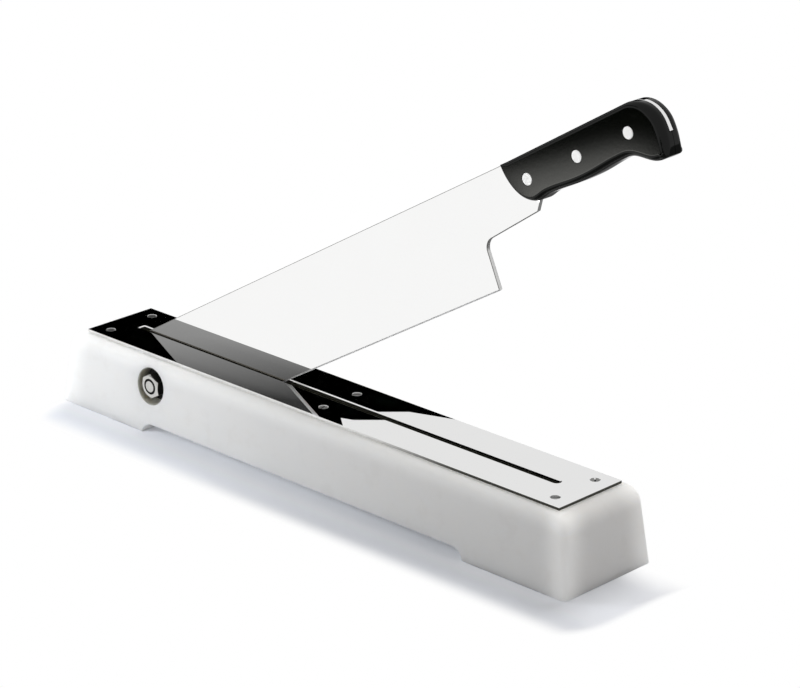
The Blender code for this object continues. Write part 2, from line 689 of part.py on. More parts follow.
def tang_pocket():
    """What the tang needs inside the scales, open at the front, the back and the butt."""
    gap = SEAT_GAP
    corner = (tang_start() + gap * (math.sqrt(2) - 1), TANG_UNDERSIDE - gap)
    outline = [
        (HANDLE_FRONT - PAST, BACK_HEIGHT + PAST),
        (HANDLE_FRONT - PAST, corner[1] - (corner[0] - HANDLE_FRONT + PAST)),
        corner,
        (BUTT + PAST, corner[1]),
        (BUTT + PAST, BACK_HEIGHT + PAST),
    ]
    half = BLADE_THICKNESS / 2 + gap
    return prism(outline, -half, half)


def build_handle(plastic, steel, hinge):
    for name, side in [("near", -1), ("far", 1)]:
        scale = add_object(f"handle_scale_{name}", handle_scale(side), plastic, hinge)
        combine(scale, "tang_pocket", tang_pocket())
        combine(scale, "rivet_holes", rivet_holes())
    reach = HANDLE_THICKNESS / 2 - RIVET_FLUSH_GAP
    for name, place in rivet_places().items():
        rivet = rod(RIVET_DIAMETER / 2, -reach, reach, steps=SMALL_ROUND_STEPS)
        add_object(f"handle_rivet_{name}", rivet, steel, hinge, (place, 0, RIVET_HEIGHT))


def centre_over_origin(frame):
    """Moves the whole cutter along X until its middle is over the origin."""
    bpy.context.view_layer.update()
    graph = bpy.context.evaluated_depsgraph_get()
    places = []
    for obj in bpy.data.objects:
        if obj.type == "MESH" and not obj.hide_render:
            points = obj.evaluated_get(graph).data.vertices
            places += [(obj.matrix_world @ point.co).x for point in points]
    frame.location.x -= (min(places) + max(places)) / 2


def main():
    clear_scene()
    white_plastic = material("white_plastic", (0.86, 0.86, 0.84), 0.45)
    mirror_steel = material("mirror_steel", (0.78, 0.78, 0.77), 0.06, 1.0)
    screw_steel = material("screw_steel", (0.62, 0.62, 0.6), 0.25, 1.0)
    bolt_steel = material("bolt_steel", (0.7, 0.7, 0.69), 0.18, 1.0)
    black_plastic = material("black_plastic", (0.012, 0.012, 0.012), 0.22)
    rivet_steel = material("rivet_steel", (0.8, 0.8, 0.78), 0.2, 1.0)
    shim_plastic = material("shim_plastic", (0.75, 0.74, 0.68), 0.5)

    frame = empty("cutter_frame", (0, 0, 0))
    build_block(white_plastic, frame)
    build_plate(mirror_steel, frame)
    build_plate_screws(screw_steel, frame)
    build_pivot(bolt_steel, shim_plastic, frame)

    hinge = empty("blade_hinge", (along_plate(PIVOT_FROM_PLATE_END), 0, PIVOT_HEIGHT), REST_ANGLE, frame)
    build_blade(mirror_steel, hinge)
    build_handle(black_plastic, rivet_steel, hinge)
    centre_over_origin(frame)


main()
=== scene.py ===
"""A salt cod cutter: a mirror-polished blade hinged in a slotted white block with a steel plate on top.

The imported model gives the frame. The operators below make each piece finer over it, in metres.
"""

import json
import math

import bmesh
import bpy
from mathutils import Matrix, Vector
from mathutils.geometry import interpolate_bezier


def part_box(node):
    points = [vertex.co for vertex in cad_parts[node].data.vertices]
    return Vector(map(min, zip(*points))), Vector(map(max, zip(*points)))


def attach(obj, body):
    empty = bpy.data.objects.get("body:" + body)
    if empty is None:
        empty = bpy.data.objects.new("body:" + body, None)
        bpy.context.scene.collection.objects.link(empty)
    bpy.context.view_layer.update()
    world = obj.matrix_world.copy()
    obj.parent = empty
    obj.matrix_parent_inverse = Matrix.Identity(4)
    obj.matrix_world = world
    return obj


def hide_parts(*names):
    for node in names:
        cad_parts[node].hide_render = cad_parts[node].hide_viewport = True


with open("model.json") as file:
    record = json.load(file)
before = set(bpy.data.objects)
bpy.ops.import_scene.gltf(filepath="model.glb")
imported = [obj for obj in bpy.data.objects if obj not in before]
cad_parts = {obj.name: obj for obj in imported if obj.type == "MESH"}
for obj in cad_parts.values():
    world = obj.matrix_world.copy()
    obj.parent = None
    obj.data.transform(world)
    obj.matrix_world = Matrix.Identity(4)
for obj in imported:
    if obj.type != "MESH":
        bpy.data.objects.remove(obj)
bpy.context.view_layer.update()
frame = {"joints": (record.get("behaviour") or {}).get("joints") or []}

bl_info = {
    "name": "Salt Cod Cutter",
    "version": (1, 0, 0),
    "blender": (4, 5, 0),
    "location": "3D View > Sidebar > Cutter",
    "description": "Makes a hinged salt cod cutter piece by piece over its packed frame",
    "category": "Object",
}

MM = 0.001

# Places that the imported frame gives
PLATE_LOW, PLATE_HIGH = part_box("top_plate")
NUT_LOW, NUT_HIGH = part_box("pivot_nut")
BOLT_LOW, BOLT_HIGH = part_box("pivot_bolt")
BUSH_LOW, BUSH_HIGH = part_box("pivot_bush")
SHIM_LOW, SHIM_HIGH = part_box("blade_shim_far")
WASHER_LOW, WASHER_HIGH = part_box("pivot_washer_far")
BLADE_LOW, BLADE_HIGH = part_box("blade")
PIVOT = Vector(frame["joints"][0]["pos_m"])


def middle(node):
    low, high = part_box(node)
    return (low + high) / 2


MIDDLE_X = (PLATE_LOW.x + PLATE_HIGH.x) / 2
PLATE_LENGTH = PLATE_HIGH.x - PLATE_LOW.x
PLATE_WIDTH = PLATE_HIGH.y - PLATE_LOW.y
BLOCK_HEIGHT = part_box("base_block")[1].z
BLADE_THICKNESS = BLADE_HIGH.y - BLADE_LOW.y
SCALE_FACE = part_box("handle_scale_far")[1].y
FRONT_RIVET = middle("handle_rivet_front") - PIVOT
REAR_RIVET = middle("handle_rivet_rear") - PIVOT
REST_ANGLE = math.atan2(REAR_RIVET.z - FRONT_RIVET.z, REAR_RIVET.x - FRONT_RIVET.x)
BLADE_FRAME = Matrix.Translation(PIVOT) @ Matrix.Rotation(-REST_ANGLE, 4, "Y")
SCREW_ANGLES = {
    "plate_screw_pivot_end_near": 48,
    "plate_screw_pivot_end_far": 58,
    "plate_screw_middle_near": 100,
    "plate_screw_middle_far": 46,
    "plate_screw_handle_end_near": 40,
    "plate_screw_handle_end_far": 134,
}
RIVETS = ["handle_rivet_front", "handle_rivet_middle", "handle_rivet_rear"]

# The block: walls that lean in by the draft and roll over on to the flat top
DRAFT = math.radians(5)
END_ROUND = 12 * MM
SIDE_ROUND = 7 * MM
LEDGE = 0.5 * MM
CORNER_LOW = 3 * MM
CORNER_HIGH = 6 * MM
CORNER_AT_PLATE = 2 * MM
EDGE_BREAK = 0.6 * MM
SLOT_FLOOR = 4 * MM
SLOT_START = 24 * MM
SLOT_END_INSET = 26 * MM
SLOT_CORNER = 0.6 * MM
PLATE_SLOT_WIDTH = 5.5 * MM
BLOCK_SLOT_WIDTH = 6 * MM
BLOCK_SLOT_MARGIN = 0.4 * MM
PIVOT_FOOT = 85 * MM
HANDLE_FOOT = 88 * MM
RECESS_HEIGHT = 7.5 * MM
RECESS_END_RADIUS = 10 * MM
GAP = 0.3 * MM

# What cutting tools, rounded edges and joined points need
PAST = 10 * MM
CLEAR = 1 * MM
THROAT_INSET = 0.3 * MM
MERGE = 0.001 * MM
BEND_SUPPORT = 0.4 * MM
FACE_SUPPORT = 0.35 * MM
SHARPEST_CORNER = 0.3
SCREW_STEPS = 48
RIVET_STEPS = 56

# The screws and the pivot
SCREW_HEAD_RADIUS = 3 * MM
SCREW_RIM = 0.25 * MM
SCREW_RECESSED = 0.05 * MM
SCREW_SHANK_RADIUS = 1.5 * MM
SCREW_LENGTH = 25 * MM
SCREW_POINT = 4 * MM
DRIVE_WIDTH = 1 * MM
DRIVE_DEPTH = 0.9 * MM
BOLT_RADIUS = 5 * MM
BOLT_CHAMFER = 0.9 * MM
DIMPLE_DEPTH = 0.12 * MM
DIMPLE_RADIUS = 0.5 * MM
DIMPLE_MOUTH = 0.9 * MM
RIM_WIDTH = 0.1 * MM
RIM_DROP = 0.06 * MM
RING_EDGE = 0.2 * MM
HEX_HALF = 8 * MM
HEX_CHAMFER = math.radians(30)
COUNTERBORE_CLEARANCE = 1.3 * MM

# The blade, from its pivot: along towards the handle, then up towards the spine
SPINE = 39.2 * MM
EDGE = -32.2 * MM
TIP_RADIUS = 27.5 * MM
TIP_CORNER = 3.5 * MM
TIP_ARC_END = 262
BELLY_LENGTH = 90 * MM
HEEL = 324.2 * MM
HEEL_RAKE = 2.7 * MM
NOTCH_RADIUS = 8 * MM
NOTCH_HEIGHT = 0.3 * MM
SHOULDER_HEIGHT = 3.8 * MM
SHOULDER_END = 381.2 * MM
GRIND_WIDTH = 0.9 * MM
BEVEL_WIDTH = 0.3 * MM
BEVEL_THICKNESS = 1.4 * MM
OVERRUN = 1 * MM
PIVOT_HOLE_RADIUS = 7.3 * MM
SQUARE_BEND = 1.0

# The handle, along the blade
FRONT = 372 * MM
LENGTH = 135.2 * MM
BUTT = FRONT + LENGTH
BACK_RISE = 1.8 * MM
BACK = SPINE + BACK_RISE
BUTT_RADIUS = 20.5 * MM
FRONT_SWEEP = 18.3 * MM
TANG_UNDERSIDE = 15.1 * MM
TANG_START = SHOULDER_END + TANG_UNDERSIDE - SHOULDER_HEIGHT
PARTING_GAP = 0.3 * MM
RIVET_RADIUS = 4 * MM
RIVET_DOME = 0.04 * MM
RIVET_TURN = 70

# How a face's place and direction tell walls, slopes and flat faces apart
TOUCHING = 0.01 * MM
IN_HOLE = 0.05 * MM
BELOW_FACE = 0.15 * MM
UPRIGHT = 0.1
SLOPING = 0.2
DRIVE_WALL = 0.3
COUNTERSUNK = 0.5
NUT_FLAT = 0.8
BOLT_END = 0.9
FACE_ON = 0.97

# The plastic: painted shade in the counterbore and in the slot, and a painted glow near its edges that
# stands in for light coming through
BORE_PAINTED_SHADE = (0.5, 0.49, 0.43)
BORE_SHADE_FADE = (0.1 * MM, 0.5 * MM)
SLOT_PAINTED_SHADE = (0.03, 0.03, 0.02)
SLOT_SHADE_FADE = (0.2 * MM, 0.8 * MM)
SLOT_SHADE_PAST_END = 2 * MM
PAINTED_GLOW_CORNER_REACH = 24 * MM
PAINTED_GLOW_CORNER_STRENGTH = 0.13
PAINTED_GLOW_UPPER_REACH = 14 * MM
PAINTED_GLOW_UPPER_STRENGTH = 0.11
PAINTED_GLOW_MEETING_STRENGTH = 0.1

# The plate: the form its polishing left, and where along the block its cut faces change: where the slot's
# mouth is struck, and where painted shade darkens the slot's walls and the sheared sides
DISH_SLOPE = 0.0018
ROLL_WIDTH = 12 * MM
ROLL_CURVE = 0.14
STRUCK = (-64 * MM, -56 * MM)
SAWN_PAINTED_SHADE = (-20 * MM, 60 * MM)
CUT_SIDE_PAINTED_SHADE = (20 * MM, 140 * MM)

# Machined steels: the setting of the colour, roughness, axis of the lines, fineness of the grain, metallic
MACHINED = {
    "ground_steel": ("ground", 0.4, "Y", 1500, 1.0),
    "dull_steel": ("dull", 0.4, "Y", 1500, 1.0),
    "honed_steel": ("honed", 0.5, "Y", 1500, 0.3),
    # Dark steel: the washers' colour, and also painted shade on the nut's sides, the bolt's end and the
    # screws' recesses
    "dark_steel": ("dark", 0.4, "Y", 1800, 1.0),
    "screw_steel": ("screw", 0.3, "Z", 2600, 1.0),
    "bolt_steel": ("turned", 0.22, "Y", 1800, 1.0),
    "rivet_steel": ("rivet", 0.5, "Y", 3000, 0.4),
}

# Light on the stage
WHITE = (1, 1, 1)
COOL = (0.94, 0.97, 1)
WARM = (1, 0.95, 0.89)
PALE_BLUE = (0.9, 0.94, 1)
PALE_YELLOW = (1, 1, 0.95)
MIRRORED_SKY = 0.83

# Lamps: place, target, size and tint. The one without a size is a narrow spot.
LAMPS = {
    "key": ((-0.32, 0.95, 1.5), (0.03, 0, 0.03), (1.3, 1.0), WHITE),
    "fill": ((-0.52, -0.5, 0.32), (-0.1, 0, 0.04), (0.4, 0.3), COOL),
    "side": ((1.2, 0.1, 0.5), (0.22, 0, 0.03), (0.5, 0.4), WHITE),
    "handle_spot": ((0.05, -0.9, 0.75), (0.19, 0, 0.28), None, WHITE),
}

# Reflection cards: brightness at shares of the height, and the direction of the grey one
BLACK = [(0, 0), (1, 0)]
GREY_FADE = [(0, 0.34), (0.15, 0.3), (0.45, 0.04), (0.8, 0.02), (1, 0.02)]
FRONT_LEFT = Vector((-0.6967, -0.7174, 0))

# The floor round the block: where the painted shade by the walls and the shown shadow begin and end
FLOOR_REACH = 8.0
PAINTED_WALL_SHADE = (4 * MM, 20 * MM)
PAINTED_WALL_SHADE_END = (0.0, 20 * MM)
SHADOW_OUTER = (22 * MM, 40 * MM)
SHADOW_REAR = (0.0, 35 * MM)

# The floor in reflections: where its painted grey shade begins and ends
GREY_RIGHT = (0.0, 0.08)
GREY_NEAR = (0.12, 0.2)
GREY_FAR = (0.42, 0.5)
GREY_LEFT = (-0.2, -0.12)

# The painted dark patch of floor that the handle mirrors, and the painted pool of light in it
PATCH_CORNER = Vector((-0.4135, -0.602))
PATCH_RUN = Vector((0.515, -0.857))
PATCH_LEAN = 0.91
PATCH_DEPTH = 0.13
PATCH_START = (-0.007, -0.001)
PATCH_END = (0.24, 0.3)
PATCH_LOWER = (1.6, 2.0)
PATCH_UPPER = (-0.6, -0.3)
POOL_SLANT = 3.4
POOL_RISE = (-0.08, 0.5)
POOL_CREST = (0.5, 0.7)
POOL_END = (0.11, 0.17)

# The camera at the photograph's distance
CAMERA_PLACE = (1.35599, -1.3542, 0.8386)


def length(name, size, description):
    """A size of a piece, given in millimetres."""
    return bpy.props.FloatProperty(
        name=name, description=description, default=size * MM, min=0, unit="LENGTH", precision=5
    )


def share(name, value, description):
    return bpy.props.FloatProperty(
        name=name, description=description, default=value, min=0, max=1, subtype="FACTOR"
    )


def colour(name, value, description):
    return bpy.props.FloatVectorProperty(
        name=name, description=description, default=value, min=0, max=1, size=3, subtype="COLOR"
    )


def power(name, watts, description):
    return bpy.props.FloatProperty(
        name=name, description=description, default=watts, min=0, unit="POWER"
    )


def bearing(name, degrees, description):
    return bpy.props.FloatProperty(
        name=name, description=description, default=math.radians(degrees), subtype="ANGLE"
    )


def count(name, value, description):
    return bpy.props.IntProperty(name=name, description=description, default=value, min=3, max=256)


class CutterSizes(bpy.types.PropertyGroup):
    """How the pieces' edges and rounds are finished"""

    round_steps: count("Round steps", 72, "Flat faces round a bore or a washer")
    roll_steps: count("Roll steps", 20, "Faces over the block's rolled top edge")
    corner_steps: count("Corner steps", 12, "Faces round an upright corner of the block")
    handle_steps: count("Handle steps", 14, "Faces over a handle scale's rounded edge")
    bore_break: length("Bore edge", 0.5, "How far the counterbore's mouth is broken")
    recess_break: length("Recess edge", 0.45, "How far the recess's edges are broken")
    plate_break: length("Plate edge", 0.12, "How far the plate's upper edges are broken")
    slot_break: length("Slot edge", 0.7, "How far the plate's slot is broken")
    hole_break: length("Screw hole edge", 0.2, "How far the plate's screw holes are broken")
    spine_break: length("Spine edge", 0.36, "How far the blade's spine and tang are broken")
    nut_break: length("Nut edge", 0.12, "How far the nut's corners are worn")
    rivet_break: length("Rivet edge", 0.25, "How far a rivet's rim is rounded")
    screw_break: length("Screw edge", 0.08, "How far a screw's head and drive slot are rounded")


class CutterFinishes(bpy.types.PropertyGroup):
    """Colours and gloss of the finishes"""

    plastic: colour("White plastic", (0.88, 0.875, 0.86), "The block's colour")
    plastic_worn: colour("Worn white plastic", (0.84, 0.83, 0.81), "The block where it has been rubbed")
    plastic_roughness: share("White plastic roughness", 0.42, "How matt the block is")
    mirror: colour("Mirror steel", (0.93, 0.93, 0.925), "The plate's and the blade's colour")
    mirror_roughness: share("Mirror roughness", 0.004, "How dull the polish of plate and blade is")
    turned: colour("Turned steel", (0.63, 0.63, 0.61), "The bolt's, nut's and bush's colour")
    screw: colour("Screw steel", (0.4, 0.4, 0.39), "The plate screws' colour")
    ground: colour("Ground steel", (0.8, 0.8, 0.79), "The colour of the blade's heel and back")
    dull: colour("Dull steel", (0.26, 0.26, 0.25), "The colour of the broken edges round the blade")
    honed: colour("Honed steel", (0.85, 0.85, 0.85), "The colour of the blade's bevel")
    # Dark steel is also painted shade on the nut's sides, the bolt's end and the screws' recesses
    dark: colour("Dark steel", (0.03, 0.03, 0.03), "The colour of washers, nut sides and steel in shade")
    rivet: colour("Rivet steel", (1, 1, 0.99), "The rivets' colour")
    black: colour("Black plastic", (0.0007, 0.0011, 0.0006), "The handle's colour")
    black_roughness: share("Black plastic roughness", 0.07, "How matt the handle is")
    shim: colour("Shim plastic", (0.75, 0.74, 0.68), "The shims' colour")


class CutterStudio(bpy.types.PropertyGroup):
    """The floor, the light and the camera"""

    floor: colour("Floor", (0.9, 0.92, 0.97), "The floor's colour")
    sky: share("Sky", 0.215, "Strength of the even light from all round")
    key: power("Key lamp", 19, "Power of the lamp above and behind")
    fill: power("Fill lamp", 2.8, "Power of the lamp in front")
    side: power("Side lamp", 1.2, "Power of the lamp by the handle end")
    handle_spot: power("Handle spot", 20, "Power of the spot on the handle")
    azimuth: bearing("Azimuth", 44.26, "The camera's turn round the cutter")
    elevation: bearing("Elevation", 21.02, "The camera's height above level")
    lens: bpy.props.FloatProperty(
        name="Lens", description="Focal length", default=138.87, min=1, unit="CAMERA"
    )


def sizes():
    return bpy.context.scene.cutter_sizes


def finishes():
    return bpy.context.scene.cutter_finishes


def studio():
    return bpy.context.scene.cutter_studio


# Outlines

def arc(centre, radius, start, end, steps):
    """Points along an arc between two angles in degrees."""
    points = []
    for step in range(steps + 1):
        angle = math.radians(start + (end - start) * step / steps)
        points.append((centre[0] + radius * math.cos(angle), centre[1] + radius * math.sin(angle)))
    return points


def curve(start, leave, arrive, end, steps):
    """Points along a smooth curve, without its first point."""
    knots = [Vector((*point, 0)) for point in (start, leave, arrive, end)]
    return [(point.x, point.y) for point in interpolate_bezier(*knots, steps + 1)[1:]]


def quarter_round(radius):
    """How far each of four points round a quarter circle lies short of its top and of its side."""
    angles = [math.radians(30 * step) for step in range(4)]
    return [(radius * (1 - math.cos(angle)), radius * (1 - math.sin(angle))) for angle in angles]


def inward_directions(outline):
    """For each corner of an anticlockwise outline, the direction that moves its two edges in alike."""
    points = [Vector(point) for point in outline]
    directions = []
    for index, point in enumerate(points):
        before = point - points[index - 1]
        after = points[(index + 1) % len(points)] - point
        first = Vector((-before.y, before.x)).normalized()
        bisector = (first + Vector((-after.y, after.x)).normalized()).normalized()
        directions.append(bisector / max(SHARPEST_CORNER, bisector.dot(first)))
    return directions


def moved_in(outline, distance):
    """An anticlockwise outline with all its edges moved in. A negative distance moves them out."""
    return [
        (point[0] + inward.x * distance, point[1] + inward.y * distance)
        for point, inward in zip(outline, inward_directions(outline))
    ]


# Shapes

def loft(loops):
    """A closed shape through loops of equally many points, capped at both ends."""
    shape = bmesh.new()
    rings = [[shape.verts.new(point) for point in loop] for loop in loops]
    for lower, upper in zip(rings, rings[1:]):
        for index, corner in enumerate(lower):
            after = (index + 1) % len(lower)
            shape.faces.new((corner, lower[after], upper[after], upper[index]))
    shape.faces.new(rings[0])
    shape.faces.new(rings[-1])
    bmesh.ops.recalc_face_normals(shape, faces=shape.faces)
    return shape


def placed(outline, level, along):
    """An outline as points in space, at one level along an axis."""
    if along == "X":
        return [(level, *point) for point in outline]
    if along == "Y":
        return [(point[0], level, point[1]) for point in outline]
    return [(*point, level) for point in outline]


def prism(outline, low, high, along="Y"):
    return loft([placed(outline, low, along), placed(outline, high, along)])


def turned(profile, along="Y", steps=None, ring=False):
    """A profile of radii and heights spun round an axis. A ring's profile goes once round its section."""
    steps = steps or sizes().round_steps
    shape = bmesh.new()
    axis = Vector((0, 1, 0)) if along == "Y" else Vector((0, 0, 1))
    points = [shape.verts.new(Vector((radius, 0, 0)) + axis * height) for radius, height in profile]
    pairs = list(zip(points, points[1:]))
    if ring:
        pairs.append((points[-1], points[0]))
    edges = [shape.edges.new(pair) for pair in pairs]
    bmesh.ops.spin(
        shape, geom=points + edges, cent=(0, 0, 0), axis=axis, angle=math.tau, steps=steps, use_merge=True
    )
    bmesh.ops.remove_doubles(shape, verts=shape.verts, dist=MERGE)
    bmesh.ops.recalc_face_normals(shape, faces=shape.faces)
    return shape


def rod(radius, low, high, along="Y", steps=None):
    return turned([(0, low), (radius, low), (radius, high), (0, high)], along, steps)


def put(shape, matrix):
    """A shape put in a place and turned by a matrix."""
    bmesh.ops.transform(shape, matrix=matrix, verts=shape.verts)
    return shape


def moved(shape, place):
    return put(shape, Matrix.Translation(place))


def linked(name, data):
    """A new object in the scene."""
    obj = bpy.data.objects.new(name, data)
    bpy.context.scene.collection.objects.link(obj)
    return obj


def plain_mesh(name, shape):
    mesh = bpy.data.meshes.new(name)
    shape.to_mesh(mesh)
    shape.free()
    return mesh


def plain_object(name, shape):
    return linked(name, plain_mesh(name, shape))


def smooth(obj, sharp):
    """Smooth shading, kept sharp at edges that bend by more than an angle in degrees."""
    obj.data.shade_smooth()
    obj.data.set_sharp_from_angle(angle=math.radians(sharp))


def aim(obj, direction):
    """Turn a lamp or a camera to look along a direction."""
    obj.rotation_mode = "QUATERNION"
    obj.rotation_quaternion = direction.to_track_quat("-Z", "Y")


def discard(obj):
    mesh = obj.data
    bpy.data.objects.remove(obj, do_unlink=True)
    bpy.data.meshes.remove(mesh)


def gathered(shapes):
    """Shapes that stand apart, as one."""
    whole = bmesh.new()
    for shape in shapes:
        mesh = plain_mesh("gathered", shape)
        whole.from_mesh(mesh)
        bpy.data.meshes.remove(mesh)
    return whole


def carved(shape, *tools, operation="DIFFERENCE"):
    """A shape with each tool cut away from it, joined to it, or kept only where they meet."""
    blank = plain_object("blank", shape)
    guides = [plain_object("tool", tool) for tool in tools]
    for guide in guides:
        boolean = blank.modifiers.new("carve", "BOOLEAN")
        boolean.operation = operation
        boolean.solver = "EXACT"
        boolean.object = guide
    bpy.context.view_layer.update()
    result = bmesh.new()
    result.from_object(blank, bpy.context.evaluated_depsgraph_get())
    for obj in [blank, *guides]:
        discard(obj)
    if not result.faces:
        raise RuntimeError("a cut left nothing of the piece")
    return result


def mouth_levels(radius):
    """How far inside a hole's outline, and how high, each ring of its rounded mouth lies."""
    return [(-radius, CLEAR)] + [(-short, -deep) for deep, short in quarter_round(radius)]


def broken_edge(outline, radius):
    """A tool that rounds over the mouth of a hole with this outline, in a level top, open upwards."""
    levels = mouth_levels(radius)[:-1] + [(THROAT_INSET, -2 * radius)]
    return loft([placed(moved_in(outline, inset), level, "Z") for inset, level in levels])


def add_piece(name, shape, material, body, nodes, sharp=30, place=None):
    """A finished piece in the frame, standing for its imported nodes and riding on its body."""
    if place:
        put(shape, place)
    bmesh.ops.remove_doubles(shape, verts=shape.verts, dist=MERGE / 2)
    loose = [vertex for vertex in shape.verts if not vertex.link_faces]
    bmesh.ops.delete(shape, geom=loose, context="VERTS")
    bmesh.ops.recalc_face_normals(shape, faces=shape.faces)
    obj = plain_object(name, shape)
    return settle(obj, material, body, nodes, sharp)


def dress(obj, material, test):
    """Give another finish to the faces that a test picks by their middle and their direction."""
    index = len(obj.data.materials)
    obj.data.materials.append(material)
    for face in obj.data.polygons:
        if test(face.center, face.normal):
            face.material_index = index


def settle(obj, material, body, nodes, sharp=30):
    """Give a piece its finish and its shading, and tell the frame what it rides on and stands for."""
    if not obj.data.materials:
        obj.data.materials.append(material)
    smooth(obj, sharp)
    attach(obj, body)
    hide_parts(*nodes)
    return obj


# Node trees

class Wire:
    """A value in a node tree. Sums on it add Math nodes."""

    def __init__(self, weave, socket):
        self.weave = weave
        self.socket = socket

    def maths(self, operation, *values):
        inputs = dict(enumerate(values))
        return self.weave.add("ShaderNodeMath", {"operation": operation}, inputs)

    def __add__(self, other):
        return self.maths("ADD", self, other)

    def __radd__(self, other):
        return self.maths("ADD", other, self)

    def __sub__(self, other):
        return self.maths("SUBTRACT", self, other)

    def __rsub__(self, other):
        return self.maths("SUBTRACT", other, self)

    def __mul__(self, other):
        return self.maths("MULTIPLY", self, other)

    def __rmul__(self, other):
        return self.maths("MULTIPLY", other, self)

    def __truediv__(self, other):
        return self.maths("DIVIDE", self, other)

    def __pow__(self, other):
        return self.maths("POWER", self, other)

    def __abs__(self):
        return self.maths("ABSOLUTE", self)

    def at_least(self, other):
        return self.maths("MAXIMUM", self, other)


class Weave:
    """A node tree that is built up a node at a time."""

    def __init__(self, tree):
        self.tree = tree

    def add(self, kind, settings=None, values=None, output=0):
        """One node: its settings, then its sockets' values or links. Gives its output as a Wire."""
        node = self.tree.nodes.new(kind)
        for name, setting in (settings or {}).items():
            if name == "stops":
                self.set_stops(node.color_ramp, setting)
            else:
                setattr(node, name, setting)
        for name, value in (values or {}).items():
            if isinstance(value, Wire):
                self.tree.links.new(value.socket, node.inputs[name])
            else:
                node.inputs[name].default_value = value
        return Wire(self, node.outputs[output]) if node.outputs else node

    def set_stops(self, ramp, stops):
        while len(ramp.elements) < len(stops):
            ramp.elements.new(1)
        for element, (position, value) in zip(ramp.elements, stops):
            element.position = position
            element.color = (value, value, value, 1)

    def place(self, scale=(1, 1, 1)):
        """Object coordinates in metres, stretched by a scale along each axis."""
        plain = self.add("ShaderNodeTexCoord", output="Object")
        return self.add("ShaderNodeVectorMath", {"operation": "MULTIPLY"}, {0: plain, 1: scale})

    def part(self, vector, axis):
        return self.add("ShaderNodeSeparateXYZ", values={0: vector}, output="XYZ".index(axis))

    def noise(self, vector, scale, detail=3, roughness=0.5, distortion=0):
        inputs = {"Vector": vector, "Scale": scale, "Detail": detail}
        inputs.update({"Roughness": roughness, "Distortion": distortion})
        return self.add("ShaderNodeTexNoise", values=inputs, output="Fac")

    def ramp(self, value, *stops):
        return self.add("ShaderNodeValToRGB", {"stops": stops}, {"Fac": value}, output="Color")

    def step(self, value, start, end):
        """0 below start, 1 above end and smooth between them."""
        inputs = {"Value": value, "From Min": start, "From Max": end}
        return self.add("ShaderNodeMapRange", {"interpolation_type": "SMOOTHSTEP"}, inputs)

    def mix_colour(self, amount, first, second):
        inputs = {0: amount, 6: first, 7: second}
        return self.add("ShaderNodeMix", {"data_type": "RGBA"}, inputs, output=2)

    def bump(self, height, strength, distance):
        inputs = {"Height": height, "Strength": strength, "Distance": distance}
        return self.add("ShaderNodeBump", values=inputs)

    def glow(self, tone, strength=1.0):
        return self.add("ShaderNodeEmission", values={"Color": four(tone), "Strength": strength})

    def ray(self, kind):
        """1 for light of one kind, such as what the camera sees, and 0 for the rest."""
        return self.add("ShaderNodeLightPath", output=f"Is {kind} Ray")

    def mix_shader(self, amount, first, second):
        return self.add("ShaderNodeMixShader", values={0: amount, 1: first, 2: second})


def four(value, gain=1.0):
    """A colour with its alpha, made lighter or darker by a gain."""
    return (*(min(1, channel * gain) for channel in value), 1)


def diagonal(across, up):
    """The distance between points that lie this far apart in each of two directions."""
    return (across * across + up * up) ** 0.5


# Finishes

FINISH_ENDING = "_finish"


def new_material(name):
    """An empty material and its Weave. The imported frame's own materials keep the plain names."""
    made = bpy.data.materials.new(name + FINISH_ENDING)
    made.use_nodes = True
    made.node_tree.nodes.clear()
    return made, Weave(made.node_tree)


def surface(weave, shader):
    weave.add("ShaderNodeOutputMaterial", values={"Surface": shader})


def principled(weave, **values):
    named = {name.replace("_", " ").title(): value for name, value in values.items()}
    if "Ior" in named:
        named["IOR"] = named.pop("Ior")
    surface(weave, weave.add("ShaderNodeBsdfPrincipled", values=named))


def painted_slot_shade_mask(weave, x, y):
    """1 inside the block's slot and 0 outside it: where the slot's painted shade goes."""
    half_width = BLOCK_SLOT_WIDTH / 2
    last = PLATE_HIGH.x - SLOT_END_INSET
    slot_middle = (PLATE_LOW.x + SLOT_START + last) / 2
    half_length = last - slot_middle + SLOT_SHADE_PAST_END
    past_width = weave.step(abs(y), *(half_width + reach for reach in SLOT_SHADE_FADE))
    past_length = weave.step(abs(x - slot_middle), half_length, half_length + MM)
    return 1 - past_width.at_least(past_length)


def painted_edge_glow(weave, x, y, height):
    """A painted glow near the block's upper edges and its upright corners, given off as emission where
    light would come through the plastic.
    """
    lean = height * math.tan(DRAFT)
    from_end = end_reach(0) - abs(x - MIDDLE_X) - lean
    from_side = side_reach(0) - abs(y) - lean
    upright = 1 - weave.step(diagonal(from_end, from_side), 0, PAINTED_GLOW_CORNER_REACH)
    upper = 1 - weave.step(BLOCK_HEIGHT - height, 0, PAINTED_GLOW_UPPER_REACH)
    return upright * PAINTED_GLOW_CORNER_STRENGTH + upper * PAINTED_GLOW_UPPER_STRENGTH + upright * upper * PAINTED_GLOW_MEETING_STRENGTH


